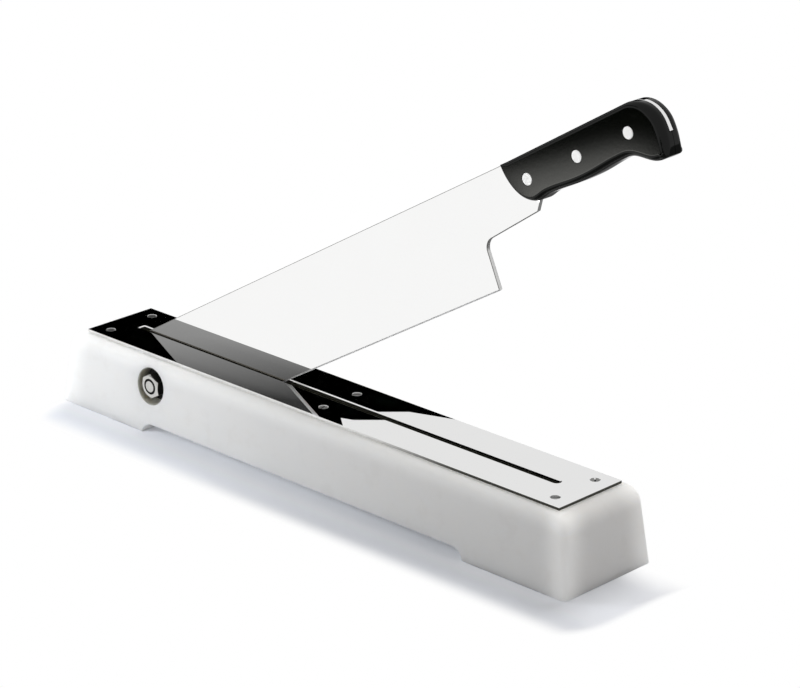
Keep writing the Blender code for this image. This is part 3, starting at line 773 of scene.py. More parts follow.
def white_plastic():
    """Milled polyethylene: tool lines, pores, rubbed patches and hair scratches, with painted shade in the
    counterbore and the slot, and a painted glow at the edges.
    """
    look = finishes()
    made, weave = new_material("white_plastic")
    place = weave.place()
    x, y, height = (weave.part(place, axis) for axis in "XYZ")
    cloud = weave.noise(place, 18, 4)
    rubbed = weave.step(weave.noise(place, 70, 5, 0.6), 0.52, 0.7)
    lines = weave.noise(weave.place((12, 900, 900)), 1, 3, 0.6)
    pores = weave.noise(place, 2600, 2)
    scratches = weave.step(weave.noise(weave.place((22, 160, 700)), 1, 2, 0.4, 1.2), 0.7, 0.74)
    plastic_own_colour = weave.mix_colour(rubbed * 0.5 + cloud * 0.3, four(look.plastic), four(look.plastic_worn))
    # Painted shade: the plastic's colour is darkened inside the counterbore round the bolt
    from_bolt = diagonal(x - PIVOT.x, height - PIVOT.z)
    painted_bore_shade = 1 - weave.step(from_bolt, *(counterbore_radius() + reach for reach in BORE_SHADE_FADE))
    # Painted shade: the plastic inside the slot is painted near black
    in_slot = painted_slot_shade_mask(weave, x, y)
    glow = painted_edge_glow(weave, x, y, height) * (1 - in_slot)
    principled(
        weave,
        base_color=weave.mix_colour(in_slot, weave.mix_colour(painted_bore_shade, plastic_own_colour, four(BORE_PAINTED_SHADE)), four(SLOT_PAINTED_SHADE)),
        roughness=look.plastic_roughness + (lines - 0.5) * 0.12 + rubbed * 0.05,
        ior=1.5,
        subsurface_weight=0.8,
        subsurface_radius=(1.0, 0.97, 0.93),
        subsurface_scale=14 * MM,
        # Painted light: the edges glow by emission, though the block is no lamp
        emission_color=weave.mix_colour(glow, (0, 0, 0, 1), (1, 1, 0.98, 1)),
        emission_strength=1.0,
        normal=weave.bump(lines * 0.6 + pores * 0.4 - scratches * 0.5, 0.35, 0.03 * MM),
    )
    return made


def polished_steel(name, dished=False):
    """A mirror polish with hair scratches from wiping, along the steel, and faint smears.

    The plate is also a little dished towards its slot, and rolled off at its long edges by the polishing.
    """
    look = finishes()
    made, weave = new_material(name)
    place = weave.place()
    smear = weave.noise(place, 26, 4, 0.55, 0.6)
    hair = weave.noise(weave.place((40, 5200, 5200)), 1, 2, 0.5, 0.3)
    hairlines = weave.step(hair, 0.64, 0.8)
    base = weave.mix_colour(hairlines * 0.5 + smear * 0.2, four(look.mirror), four(look.mirror, 0.93))
    rough = look.mirror_roughness + hairlines * 0.004
    polish = {"Base Color": base, "Metallic": 1.0, "Roughness": rough}
    haze = {"Base Color": four(look.mirror), "Metallic": 1.0, "Roughness": 0.35}
    haze["Normal"] = weave.bump(hair, 0.2, 0.01 * MM)
    if dished:
        off_middle = abs(weave.part(place, "Y"))
        rolled = (off_middle - PLATE_WIDTH / 2 + ROLL_WIDTH).at_least(0)
        form = off_middle * DISH_SLOPE - rolled * rolled * ROLL_CURVE
        polish["Normal"] = weave.bump(form, 1.0, 1.0)
    mirror = weave.add("ShaderNodeBsdfPrincipled", values=polish)
    scratched = weave.add("ShaderNodeBsdfPrincipled", values=haze)
    surface(weave, weave.mix_shader(hairlines * 0.012 + smear * 0.003, mirror, scratched))
    return made


def sawn_steel():
    """The walls of the plate's slot and screw holes: dull, stained and scored down the cut, darkened by
    painted shade to near black towards the handle.
    """
    made, weave = new_material("sawn_steel")
    place = weave.place()
    scored = weave.noise(weave.place((6000, 6000, 300)), 1, 3, 0.6)
    stain = weave.noise(place, 300, 4, 0.6)
    # Painted shade: the walls darken to near black along the block towards the handle
    black = weave.step(weave.part(place, "X"), *SAWN_PAINTED_SHADE)
    olive = weave.mix_colour(stain, (0.04, 0.04, 0.028, 1), (0.09, 0.09, 0.068, 1))
    principled(
        weave,
        base_color=weave.mix_colour(black, olive, (0.012, 0.012, 0.01, 1)),
        metallic=1.0,
        roughness=0.4 + scored * 0.2,
        normal=weave.bump(scored, 0.5, 0.02 * MM),
    )
    return made


def mouth_steel():
    """The near edge of the slot's mouth: smoother beside the hinge, scored where the blade comes down."""
    made, weave = new_material("mouth_steel")
    place = weave.place()
    scored = weave.noise(weave.place((300, 6000, 6000)), 1, 3, 0.6)
    struck = weave.step(weave.part(place, "X"), *STRUCK)
    principled(
        weave,
        base_color=weave.mix_colour(struck, (0.1, 0.093, 0.08, 1), (0.14, 0.135, 0.1, 1)),
        metallic=1.0,
        roughness=struck * (0.2 + scored * 0.15) + 0.05,
        normal=weave.bump(scored, 0.2, 0.01 * MM),
    )
    return made


def cut_steel():
    """The plate's sheared sides: bright by the hinge, with painted shade that darkens them towards the
    handle.
    """
    made, weave = new_material("cut_steel")
    place = weave.place()
    sheared = weave.noise(weave.place((5000, 5000, 400)), 1, 3, 0.6)
    # Painted shade: the sheared sides go from bright steel to near black along the block
    painted_side_shade = weave.step(weave.part(place, "X") + sheared * 0.03, *CUT_SIDE_PAINTED_SHADE)
    principled(
        weave,
        base_color=weave.mix_colour(painted_side_shade, (0.85, 0.85, 0.84, 1), (0.07, 0.07, 0.06, 1)),
        metallic=1.0,
        roughness=0.3 + sheared * 0.15,
        normal=weave.bump(sheared, 0.4, 0.02 * MM),
    )
    return made


def machined_steel(name):
    """Turned or brushed steel: fine lines that stand across an axis, a grain, and dull patches."""
    setting, roughness, along, fineness, metallic = MACHINED[name]
    tone = getattr(finishes(), setting)
    made, weave = new_material(name)
    grain = weave.noise(weave.place((fineness, fineness, fineness)), 1, 4, 0.7)
    across = {"Y": (500, 9000, 500), "Z": (500, 500, 9000)}[along]
    lines = weave.noise(weave.place(across), 1, 2)
    dull = weave.noise(weave.place(), 240, 4, 0.6)
    principled(
        weave,
        base_color=weave.mix_colour(dull, four(tone), four(tone, 0.82)),
        metallic=metallic,
        roughness=roughness * (1 + (grain - 0.5) * 0.6 + (dull - 0.5) * 0.4),
        normal=weave.bump(lines + grain * 0.6, 0.25, 0.02 * MM),
    )
    return made


def black_plastic():
    """Glossy moulded plastic with a faint orange-peel skin, wiping marks and a little dust in the gloss."""
    look = finishes()
    made, weave = new_material("black_plastic")
    place = weave.place()
    peel = weave.noise(place, 420, 2)
    grain = weave.noise(place, 3800, 2)
    wipes = weave.step(weave.noise(weave.place((60, 700, 320)), 1, 3, 0.6, 0.8), 0.6, 0.78)
    principled(
        weave,
        base_color=weave.mix_colour(wipes * 0.6, four(look.black), four(look.black, 1.8)),
        roughness=look.black_roughness + wipes * 0.03 + (grain - 0.5) * 0.03,
        ior=1.3,
        normal=weave.bump(peel + grain * 0.3, 0.12, 0.03 * MM),
    )
    return made


def shim_plastic():
    """Matt slippery plastic, cut from sheet."""
    made, weave = new_material("shim_plastic")
    place = weave.place()
    grain = weave.noise(place, 1500, 3)
    cloud = weave.noise(place, 120, 3)
    tone = finishes().shim
    principled(
        weave,
        base_color=weave.mix_colour(cloud, four(tone), four(tone, 0.9)),
        roughness=0.45 + grain * 0.12,
        normal=weave.bump(grain, 0.2, 0.02 * MM),
    )
    return made


MAKERS = {
    "white_plastic": white_plastic,
    "mirror_steel": lambda: polished_steel("mirror_steel"),
    "plate_steel": lambda: polished_steel("plate_steel", dished=True),
    "sawn_steel": sawn_steel,
    "mouth_steel": mouth_steel,
    "cut_steel": cut_steel,
    "black_plastic": black_plastic,
    "shim_plastic": shim_plastic,
}


def finish(name):
    """A finish by its name, made the first time it is asked for."""
    ready = bpy.data.materials.get(name + FINISH_ENDING)
    if ready:
        return ready
    return machined_steel(name) if name in MACHINED else MAKERS[name]()


# The block

def wall_reach(top_reach, rounding, height):
    """How far a wall of the block stands from the middle at a height."""
    roll_start = BLOCK_HEIGHT - rounding * (1 - math.sin(DRAFT))
    if height <= roll_start:
        return top_reach + rounding * math.cos(DRAFT) + (roll_start - height) * math.tan(DRAFT)
    rise = min(1, (height - BLOCK_HEIGHT + rounding) / rounding)
    return top_reach + rounding * math.sqrt(1 - rise * rise)


def end_reach(height):
    return wall_reach(PLATE_LENGTH / 2 + LEDGE, END_ROUND, height)


def side_reach(height):
    return wall_reach(PLATE_WIDTH / 2 + LEDGE, SIDE_ROUND, height)


def corner_radius(height):
    """The upright corners open out upwards, and close in again where the top rolls over."""
    roll_start = BLOCK_HEIGHT - SIDE_ROUND
    if height <= roll_start:
        return CORNER_LOW + (CORNER_HIGH - CORNER_LOW) * height / roll_start
    portion = (height - roll_start) / SIDE_ROUND
    return CORNER_HIGH + (CORNER_AT_PLATE - CORNER_HIGH) * portion**2


def rounded_rectangle(half_x, half_y, radius, steps):
    points = []
    for quarter, (side_x, side_y) in enumerate([(1, 1), (-1, 1), (-1, -1), (1, -1)]):
        centre = (side_x * (half_x - radius), side_y * (half_y - radius))
        points += arc(centre, radius, 90 * quarter, 90 * quarter + 90, steps)
    return points


def block_form():
    """The block's outer form, through rounded rectangles from the table up."""
    steps = sizes().corner_steps
    roll = arc((0, BLOCK_HEIGHT - END_ROUND), END_ROUND, math.degrees(DRAFT), 90, sizes().roll_steps)
    end_roll = roll[0][1]
    side_roll = BLOCK_HEIGHT - SIDE_ROUND * (1 - math.sin(DRAFT))
    heights = [EDGE_BREAK + BEND_SUPPORT, end_roll / 2, end_roll - BEND_SUPPORT]
    heights += [side_roll - BEND_SUPPORT, side_roll]
    heights += [height for _, height in roll]
    sections = []
    for height, inset in quarter_round(EDGE_BREAK):
        sections.append((height, end_reach(height) - inset, side_reach(height) - inset))
    sections += [(height, end_reach(height), side_reach(height)) for height in sorted(heights)]
    loops = []
    for height, half_x, half_y in sections:
        outline = rounded_rectangle(half_x, half_y, corner_radius(height), steps)
        loops.append([(MIDDLE_X + x, y, height) for x, y in outline])
    return loft(loops)


def slot_outline(width, margin):
    """The blade's slot from above: square across at the pivot end, round at the handle end."""
    half = width / 2
    first = PLATE_LOW.x + SLOT_START - margin
    last = PLATE_HIGH.x - SLOT_END_INSET + margin
    points = arc((last - half, 0), half, -90, 90, 24)
    points += arc((first + SLOT_CORNER, half - SLOT_CORNER), SLOT_CORNER, 90, 180, 5)
    points += arc((first + SLOT_CORNER, SLOT_CORNER - half), SLOT_CORNER, 180, 270, 5)
    return points


def recess_outline():
    """The recess between the feet from the side, its ends left round by the cutter."""
    centre_height = RECESS_HEIGHT - RECESS_END_RADIUS
    foot_edge = math.sqrt(RECESS_END_RADIUS**2 - centre_height**2)
    first = MIDDLE_X - end_reach(0) + PIVOT_FOOT + foot_edge
    last = MIDDLE_X + end_reach(0) - HANDLE_FOOT - foot_edge
    below = math.degrees(math.asin(centre_height / RECESS_END_RADIUS)) / 2
    points = arc((last, centre_height), RECESS_END_RADIUS, -below, 90, 18)
    return points + arc((first, centre_height), RECESS_END_RADIUS, 90, 180 + below, 18)


def wall_frame(side):
    """The frame of a side wall at the table: X along the block, Y up the wall and Z out of it."""
    along = Vector((-side, 0, 0))
    up = Vector((0, -side * math.sin(DRAFT), math.cos(DRAFT)))
    turn = Matrix((along, up, along.cross(up))).transposed().to_4x4()
    return Matrix.Translation((0, side * side_reach(0), 0)) @ turn


def mouth_in_wall(outline, radius, side):
    """Rings of a rounded mouth in a side wall, for a hole whose outline is given along and up the block."""
    wall = wall_frame(side)
    rings = []
    for inset, level in mouth_levels(radius):
        points = moved_in(outline, inset)
        rings.append([wall @ Vector((-side * x, height / math.cos(DRAFT), level)) for x, height in points])
    return rings


def recess():
    """What the recess between the feet takes away, with its edges rounded over in both walls."""
    edge = sizes().recess_break
    far_rings = mouth_in_wall(recess_outline(), edge, 1)
    return loft(mouth_in_wall(recess_outline(), edge, -1) + far_rings[::-1])


def counterbore_radius():
    return WASHER_HIGH.z - PIVOT.z + COUNTERBORE_CLEARANCE


def counterbore(side):
    """What the counterbore in one wall takes away, its mouth rounded over."""
    radius = counterbore_radius()
    circle = arc((PIVOT.x, PIVOT.z), radius, 0, 360, sizes().round_steps)[:-1]
    floor = placed(circle, side * (WASHER_LOW.y - GAP), "Y")
    return loft(mouth_in_wall(circle, sizes().bore_break, side) + [floor])


class CUTTER_OT_block(bpy.types.Operator):
    """Make the white block with its slot, recess, bores and broken edges"""

    bl_idname = "cutter.block"
    bl_label = "Block"

    def execute(self, context):
        wide = side_reach(0) + PAST
        slot = slot_outline(BLOCK_SLOT_WIDTH, BLOCK_SLOT_MARGIN)
        from_above = [prism(slot, SLOT_FLOOR, BLOCK_HEIGHT + PAST, "Z")]
        for node in SCREW_ANGLES:
            low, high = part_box(node)
            pilot = rod(SCREW_SHANK_RADIUS + GAP, low.z - GAP, high.z, "Z", SCREW_STEPS // 2)
            from_above.append(moved(pilot, ((low.x + high.x) / 2, (low.y + high.y) / 2, 0)))
        shape = carved(
            block_form(),
            gathered(from_above),
            recess(),
            gathered([counterbore(-1), counterbore(1)]),
            moved(rod(BOLT_RADIUS + GAP, -wide, wide), PIVOT),
        )
        plastic = finish("white_plastic")
        add_piece("block", shape, plastic, "base", ["base_block"], sharp=12)
        return {"FINISHED"}


# The plate and its screws

def screw_places():
    """The middles of the screws, on the plate's top."""
    return [Vector((*middle(node).xy, PLATE_HIGH.z)) for node in SCREW_ANGLES]


class CUTTER_OT_plate(bpy.types.Operator):
    """Make the polished plate with its slot and six countersinks"""

    bl_idname = "cutter.plate"
    bl_label = "Plate"

    def execute(self, context):
        edge = sizes().plate_break
        half_x = PLATE_LENGTH / 2
        half_y = PLATE_WIDTH / 2
        outline = rounded_rectangle(half_x, half_y, 2 * edge, 4)
        outline = [(MIDDLE_X + x, y) for x, y in outline]
        levels = [(edge / 2, PLATE_LOW.z), (0, PLATE_LOW.z + edge / 2)]
        levels += [(inset, PLATE_HIGH.z - drop) for inset, drop in quarter_round(edge)]
        shape = loft([placed(moved_in(outline, inset), level, "Z") for inset, level in levels])
        slot = slot_outline(PLATE_SLOT_WIDTH, 0)
        through = [prism(slot, PLATE_LOW.z - PAST, PLATE_HIGH.z + PAST, "Z")]
        mouth = moved(broken_edge(slot, sizes().slot_break), (0, 0, PLATE_HIGH.z))
        head = SCREW_HEAD_RADIUS + GAP
        shank = SCREW_SHANK_RADIUS + GAP
        rim = -SCREW_RECESSED - SCREW_RIM
        flare = sizes().hole_break
        profile = [(0, PAST), (head + flare, PAST), (head + flare, 0), (head, -flare), (head, rim)]
        profile += [(shank, rim - (head - shank)), (shank, -PAST), (0, -PAST)]
        screws = screw_places()
        through += [moved(turned(profile, "Z", SCREW_STEPS), place) for place in screws]
        shape = carved(shape, gathered(through), mouth)
        steel = finish("plate_steel")
        plate = add_piece("plate", shape, steel, "base", ["top_plate"], sharp=8)

        def in_slot(centre, normal):
            return abs(centre.y) < PLATE_SLOT_WIDTH / 2 + TOUCHING and abs(normal.z) < UPRIGHT

        def near_mouth(centre, normal):
            by_slot = abs(centre.y) < PLATE_SLOT_WIDTH / 2 + MM
            return by_slot and normal.y > SLOPING and normal.z > UPRIGHT

        def in_hole(centre, normal):
            near = any((centre - place).xy.length < head + IN_HOLE for place in screws)
            return near and normal.z < COUNTERSUNK

        def outside(centre, normal):
            at_end = abs(centre.x - MIDDLE_X) > half_x - MM
            return abs(normal.z) < UPRIGHT and (at_end or abs(centre.y) > half_y - MM)

        dress(plate, finish("sawn_steel"), in_slot)
        dress(plate, finish("mouth_steel"), near_mouth)
        dress(plate, finish("sawn_steel"), in_hole)
        dress(plate, finish("cut_steel"), outside)
        return {"FINISHED"}


def repeat_tree(name):
    """A tree that sets one piece on every point of a mesh, turned by the point's own turn."""
    tree = bpy.data.node_groups.new(name, "GeometryNodeTree")
    sides = [
        ("Places", "INPUT", "NodeSocketGeometry"),
        ("Piece", "INPUT", "NodeSocketObject"),
        ("Size", "INPUT", "NodeSocketFloat"),
        ("Finish", "INPUT", "NodeSocketMaterial"),
        ("Pieces", "OUTPUT", "NodeSocketGeometry"),
    ]
    sockets = {
        title: tree.interface.new_socket(title, in_out=way, socket_type=kind) for title, way, kind in sides
    }
    weave = Weave(tree)
    given = {title: weave.add("NodeGroupInput", output=title) for title, way, _ in sides if way == "INPUT"}
    piece = weave.add("GeometryNodeObjectInfo", values={"Object": given["Piece"]}, output="Geometry")
    turn = weave.add("GeometryNodeInputNamedAttribute", {"data_type": "FLOAT_VECTOR"}, {"Name": "turn"})
    inputs = {
        "Points": given["Places"],
        "Instance": piece,
        "Rotation": weave.add("FunctionNodeEulerToRotation", values={0: turn}),
        "Scale": given["Size"],
    }
    copies = weave.add("GeometryNodeInstanceOnPoints", values=inputs)
    solid = weave.add("GeometryNodeRealizeInstances", values={"Geometry": copies})
    dressed = {"Geometry": solid, "Material": given["Finish"]}
    painted = weave.add("GeometryNodeSetMaterial", values=dressed)
    weave.add("NodeGroupOutput", values={"Pieces": painted})
    return tree, {title: socket.identifier for title, socket in sockets.items()}


def repeated(name, shape, places, turns, material, sharp=30):
    """One mesh with a copy of a shape at every place, each with its own turn."""
    pattern = plain_object(name + "_pattern", shape)
    smooth(pattern, sharp)
    points = bmesh.new()
    for place in places:
        points.verts.new(place)
    row = plain_object(name + "_places", points)
    attribute = row.data.attributes.new("turn", "FLOAT_VECTOR", "POINT")
    for item, turn in zip(attribute.data, turns):
        item.vector = turn
    tree, inputs = repeat_tree(name + "_repeat")
    repeat = row.modifiers.new("repeat", "NODES")
    repeat.node_group = tree
    repeat[inputs["Piece"]] = pattern
    repeat[inputs["Size"]] = 1.0
    repeat[inputs["Finish"]] = material
    bpy.context.view_layer.update()
    mesh = bpy.data.meshes.new_from_object(row.evaluated_get(bpy.context.evaluated_depsgraph_get()))
    row.modifiers.remove(repeat)
    discard(row)
    discard(pattern)
    return linked(name, mesh)


def screw_shape():
    """A slotted countersunk screw, its head's face at level 0."""
    edge = sizes().screw_break
    head = SCREW_HEAD_RADIUS
    shank = SCREW_SHANK_RADIUS
    top = -SCREW_RECESSED
    profile = [(0, top), (head - edge, top), (head, top - edge), (head, top - SCREW_RIM)]
    profile.append((shank, top - SCREW_RIM - (head - shank)))
    profile += [(shank, SCREW_POINT - SCREW_LENGTH), (0, -SCREW_LENGTH)]
    body = turned(profile, "Z", SCREW_STEPS)
    half = DRIVE_WIDTH / 2
    reach = head + half
    section = [(-half, top - DRIVE_DEPTH), (half, top - DRIVE_DEPTH), (half, top - edge)]
    section += [(half + edge, top), (half + edge, PAST), (-half - edge, PAST), (-half - edge, top)]
    section.append((-half, top - edge))
    return carved(body, prism(section, -reach, reach, "X"))


class CUTTER_OT_screws(bpy.types.Operator):
    """Set the six slotted screws in the plate"""

    bl_idname = "cutter.screws"
    bl_label = "Plate Screws"

    def execute(self, context):
        steel = finish("screw_steel")
        turns = [(0, 0, math.radians(angle)) for angle in SCREW_ANGLES.values()]
        screws = repeated("plate_screws", screw_shape(), screw_places(), turns, steel)
        settle(screws, steel, "base", list(SCREW_ANGLES))
        face = PLATE_HIGH.z - SCREW_RECESSED

        # Painted shade: the screws' faces below the head and the drive slot's walls take the dark steel
        def in_shade(centre, normal):
            return centre.z < face - BELOW_FACE or normal.z < DRIVE_WALL

        dress(screws, finish("dark_steel"), in_shade)
        return {"FINISHED"}


# The pivot

def hexagon(low, high):
    corners = arc((0, 0), HEX_HALF / math.cos(math.pi / 6), 30, 330, 5)
    return prism(corners, low, high)


def turned_hexagon(low, high, both_ends):
    """A hexagon along Y with its corners turned off at its low end, or at both."""
    shape = hexagon(low, high)
    outline = [edge for edge in shape.edges if abs(edge.verts[0].co.y - edge.verts[1].co.y) > MM]
    worn = sizes().nut_break
    bmesh.ops.bevel(shape, geom=outline, offset=worn, segments=2, profile=0.5, affect="EDGES")
    outer = HEX_HALF / math.cos(math.pi / 6) + GAP
    flat = HEX_HALF - GAP
    drop = (outer - flat) * math.tan(HEX_CHAMFER)
    profile = [(0, low), (flat, low), (outer, low + drop)]
    if both_ends:
        profile += [(outer, high - drop), (flat, high), (0, high)]
    else:
        profile += [(outer, high + PAST), (0, high + PAST)]
    return carved(shape, turned(profile), operation="INTERSECT")


def ring(inner, outer, low, high, edge):
    """A ring along Y with all its edges broken."""
    profile = [(inner, low + edge), (inner + edge, low), (outer - edge, low), (outer, low + edge)]
    profile += [(outer, high - edge), (outer - edge, high), (inner + edge, high), (inner, high - edge)]
    return turned(profile, ring=True)


def bolt_shank():
    """The bolt's shank along Y: a centre dimple and a rolled rim on its end, then a chamfer."""
    end = BOLT_LOW.y
    rim = BOLT_RADIUS - BOLT_CHAMFER
    inner = WASHER_HIGH.y + GAP + CLEAR
    profile = [(0, end + DIMPLE_DEPTH), (DIMPLE_RADIUS, end + DIMPLE_DEPTH), (DIMPLE_MOUTH, end)]
    profile += [(rim - RIM_WIDTH, end), (rim, end + RIM_DROP), (BOLT_RADIUS, end + BOLT_CHAMFER)]
    return turned(profile + [(BOLT_RADIUS, inner), (0, inner)])


def nut_bore():
    """What the bolt's hole takes from the nut, with a chamfered mouth."""
    bore = BOLT_RADIUS + GAP
    chamfer = BOLT_CHAMFER / 2
    outside = NUT_LOW.y - PAST
    profile = [(0, outside), (bore + chamfer, outside), (bore + chamfer, NUT_LOW.y)]
    return turned(profile + [(bore, NUT_LOW.y + chamfer), (bore, 0), (0, 0)])


class CUTTER_OT_pivot(bpy.types.Operator):
    """Make the pivot bolt, its nut and washers, the bush and the two shims"""

    bl_idname = "cutter.pivot"
    bl_label = "Pivot"

    def execute(self, context):
        steel = finish("bolt_steel")
        dark = finish("dark_steel")
        place = Matrix.Translation(PIVOT)
        head = turned_hexagon(-BOLT_HIGH.y, -WASHER_HIGH.y - GAP, False)
        put(head, Matrix.Rotation(math.pi, 4, "Z"))
        bolt = carved(head, bolt_shank(), operation="UNION")
        bolt = add_piece("bolt", bolt, steel, "base", ["pivot_bolt"], sharp=25, place=place)
        # Painted shade: the bolt's end chamfer and shank take the dark steel
        dress(bolt, dark, lambda centre, normal: centre.y < 0 and abs(normal.y) < BOLT_END)
        nut = carved(turned_hexagon(NUT_LOW.y, NUT_HIGH.y, True), nut_bore())
        nut = add_piece("nut", nut, steel, "base", ["pivot_nut"], sharp=25, place=place)
        # Painted shade: the nut's sides take the dark steel
        dress(nut, dark, lambda centre, normal: abs(normal.y) < NUT_FLAT)

        bore = BOLT_RADIUS + GAP
        bush_radius = BUSH_HIGH.z - PIVOT.z
        plastic = finish("shim_plastic")
        kinds = [
            # The washers are dark steel
            ("washer", "pivot_washer", dark, "bolt_steel", bore, WASHER_LOW, WASHER_HIGH),
            ("shim", "blade_shim", plastic, "shim_plastic", bush_radius + GAP, SHIM_LOW, SHIM_HIGH),
        ]
        for side, turn in [("near", -1), ("far", 1)]:
            for title, node, material, slot, hole, low, high in kinds:
                faces = sorted((turn * low.y, turn * high.y))
                shape = ring(hole, high.z - PIVOT.z, *faces, RING_EDGE)
                add_piece(f"{title}_{side}", shape, material, "base", [f"{node}_{side}"], place=place)
        bush = ring(bore, bush_radius, BUSH_LOW.y, BUSH_HIGH.y, RING_EDGE)
        add_piece("bush", bush, steel, "base", ["pivot_bush"], place=place)
        return {"FINISHED"}


# The blade

def butt_and_back(steps):
    """The butt's round and the handle's back, from the butt's side to the handle's front."""
    return arc((BUTT - BUTT_RADIUS, BACK - BUTT_RADIUS), BUTT_RADIUS, 0, 90, steps) + [(FRONT, SPINE)]


def blade_outline():
    """The blade and its tang from the side, anticlockwise from the tip's corner by the spine."""
    points = arc((TIP_CORNER - TIP_RADIUS, SPINE - TIP_CORNER), TIP_CORNER, 90, 180, 12)
    points += arc((0, 0), TIP_RADIUS, 180, TIP_ARC_END, 36)
    low = EDGE - OVERRUN
    start = Vector(points[-1])
    leave = start + Vector((-start.y, start.x)).normalized() * BELLY_LENGTH / 3
    points += curve(start, leave, (BELLY_LENGTH * 2 / 3, low), (BELLY_LENGTH, low), 30)
    notch_centre = (HEEL + HEEL_RAKE + NOTCH_RADIUS, NOTCH_HEIGHT - NOTCH_RADIUS)
    slope = HEEL_RAKE / (notch_centre[1] - EDGE)
    points.append((HEEL - slope * OVERRUN, low))
    points += arc(notch_centre, NOTCH_RADIUS, 180, 90, 16)
    points.append((SHOULDER_END, SHOULDER_HEIGHT))
    points.append((TANG_START, TANG_UNDERSIDE))
    points.append((BUTT, TANG_UNDERSIDE))
    return points + butt_and_back(40)


def ground_section():
    """What grinding leaves, seen along the blade: a bevel in two steps down to the edge."""
    half = BLADE_THICKNESS / 2
    bevel_half = BEVEL_THICKNESS / 2
    slope = (GRIND_WIDTH - BEVEL_WIDTH) / (half - bevel_half)
    right = [(bevel_half, EDGE + BEVEL_WIDTH), (half + OVERRUN, EDGE + GRIND_WIDTH + slope * OVERRUN)]
    right.append((half + OVERRUN, BACK + PAST))
    left = [(-across, height) for across, height in reversed(right)]
    return [(0, EDGE)] + right + left


def rivet_holes():
    holes = []
    for node in RIVETS:
        place = BLADE_FRAME.inverted() @ middle(node)
        hole = rod(RIVET_RADIUS + GAP, -2 * SCALE_FACE, 2 * SCALE_FACE, steps=RIVET_STEPS)
        holes.append(moved(hole, place))
    return holes


class CUTTER_OT_blade(bpy.types.Operator):
    """Make the mirror-polished blade, ground to its edge, with its tang"""

    bl_idname = "cutter.blade"
    bl_label = "Blade"

    def execute(self, context):
        half = BLADE_THICKNESS / 2
        ground = prism(ground_section(), -TIP_RADIUS - PAST, BUTT + PAST, "X")
        shape = carved(prism(blade_outline(), -half, half), ground, operation="INTERSECT")
        rim = []
        for edge in shape.edges:
            on_side = all(abs(abs(corner.co.y) - half) < MERGE for corner in edge.verts)
            if on_side and len(edge.link_faces) == 2 and edge.calc_face_angle() > SQUARE_BEND:
                rim.append(edge)
        bmesh.ops.bevel(
            shape, geom=rim, offset=sizes().spine_break, segments=2, profile=0.5, affect="EDGES"
        )
        shape = carved(shape, gathered([rod(PIVOT_HOLE_RADIUS, -PAST, PAST)] + rivet_holes()))
        mirror = finish("mirror_steel")
        blade = add_piece(
            "blade_and_tang", shape, mirror, "blade", ["blade"], sharp=8, place=BLADE_FRAME
        )
        level = BLADE_FRAME.inverted()

        def on_outline(centre, normal):
            return (level @ centre).x < SHOULDER_END and abs(normal.y) < FACE_ON

        def broken(centre, normal):
            above_edge = (level @ centre).z > EDGE + GRIND_WIDTH
            return above_edge and on_outline(centre, normal) and abs(normal.y) > SLOPING

        def honed(centre, normal):
            by_edge = (level @ centre).z <= EDGE + GRIND_WIDTH
            return by_edge and SLOPING < abs(normal.y) < FACE_ON

        dress(blade, finish("ground_steel"), on_outline)
        dress(blade, finish("dull_steel"), broken)
        dress(blade, finish("honed_steel"), honed)
        return {"FINISHED"}


# The handle

def handle_outline():
    """A scale's outline from its front corner down and round, with how far each point is rounded."""
    front_round = 0.8 * MM
    grip_round = 4 * MM
    hook_round = 3 * MM
    butt_round = 5 * MM
    back_round = 2.6 * MM
    top = (FRONT, SPINE)
    front = (FRONT + FRONT_SWEEP, SPINE - 30 * MM)
    choil = (FRONT + 30 * MM, SPINE - 28.6 * MM)
    belly = (BUTT - 75 * MM, SPINE - 30 * MM)
    hollow = (BUTT - 36 * MM, SPINE - 27.9 * MM)
    hook = (BUTT - 9.5 * MM, SPINE - 38 * MM)
    heel = (BUTT - 4 * MM, hook[1] + 0.4 * MM)
    side = (BUTT, BACK - BUTT_RADIUS)
    sweep_steps = 28
    wave_steps = 20
    climb_points = 16
    fade_points = 30
    full_pull = 0.42

    curl = (front[0] - 0.6 * FRONT_SWEEP, front[1] + 0.1 * FRONT_SWEEP)
    points = [top] + curve(top, (top[0], (top[1] + front[1]) / 2), curl, front, sweep_steps)
    growth = grip_round - front_round
    rounding = [front_round + growth * (step / sweep_steps) ** 3 for step in range(len(points))]
    for end, pull in [(choil, 0.3), (belly, full_pull), (hollow, full_pull), (hook, full_pull)]:
        start = points[-1]
        run = end[0] - start[0]
        leave = (start[0] + pull * run, start[1])
        wave = curve(start, leave, (end[0] - full_pull * run, end[1]), end, wave_steps)
        points += wave
        rounding += [grip_round] * len(wave)
    first = len(points)
    points += curve(hook, (hook[0] + 2.5 * MM, hook[1]), (heel[0] - 0.8 * MM, heel[1] - 0.3 * MM), heel, 8)
    rise = (side[1] - heel[1]) / 2
    leave = (heel[0] + 2 * MM, heel[1] + rise / 2)
    points += curve(heel, leave, (side[0], side[1] - rise), side, wave_steps)
    points += butt_and_back(44)[1:-1]
    lead = 2 * back_round
    points.append((FRONT + lead, SPINE + BACK_RISE * lead / LENGTH))
    for index in range(first, len(points) - 1):
        climb = min(1, (index - first) / climb_points)
        fade = min(1, (len(points) - 1 - index) / fade_points)
        grown = hook_round + (butt_round - hook_round) * climb
        rounding.append(back_round + (grown - back_round) * fade if fade < 1 else grown)
        if index == first:
            rounding[-1] = (grip_round + hook_round) / 2
    return points, rounding + [back_round]


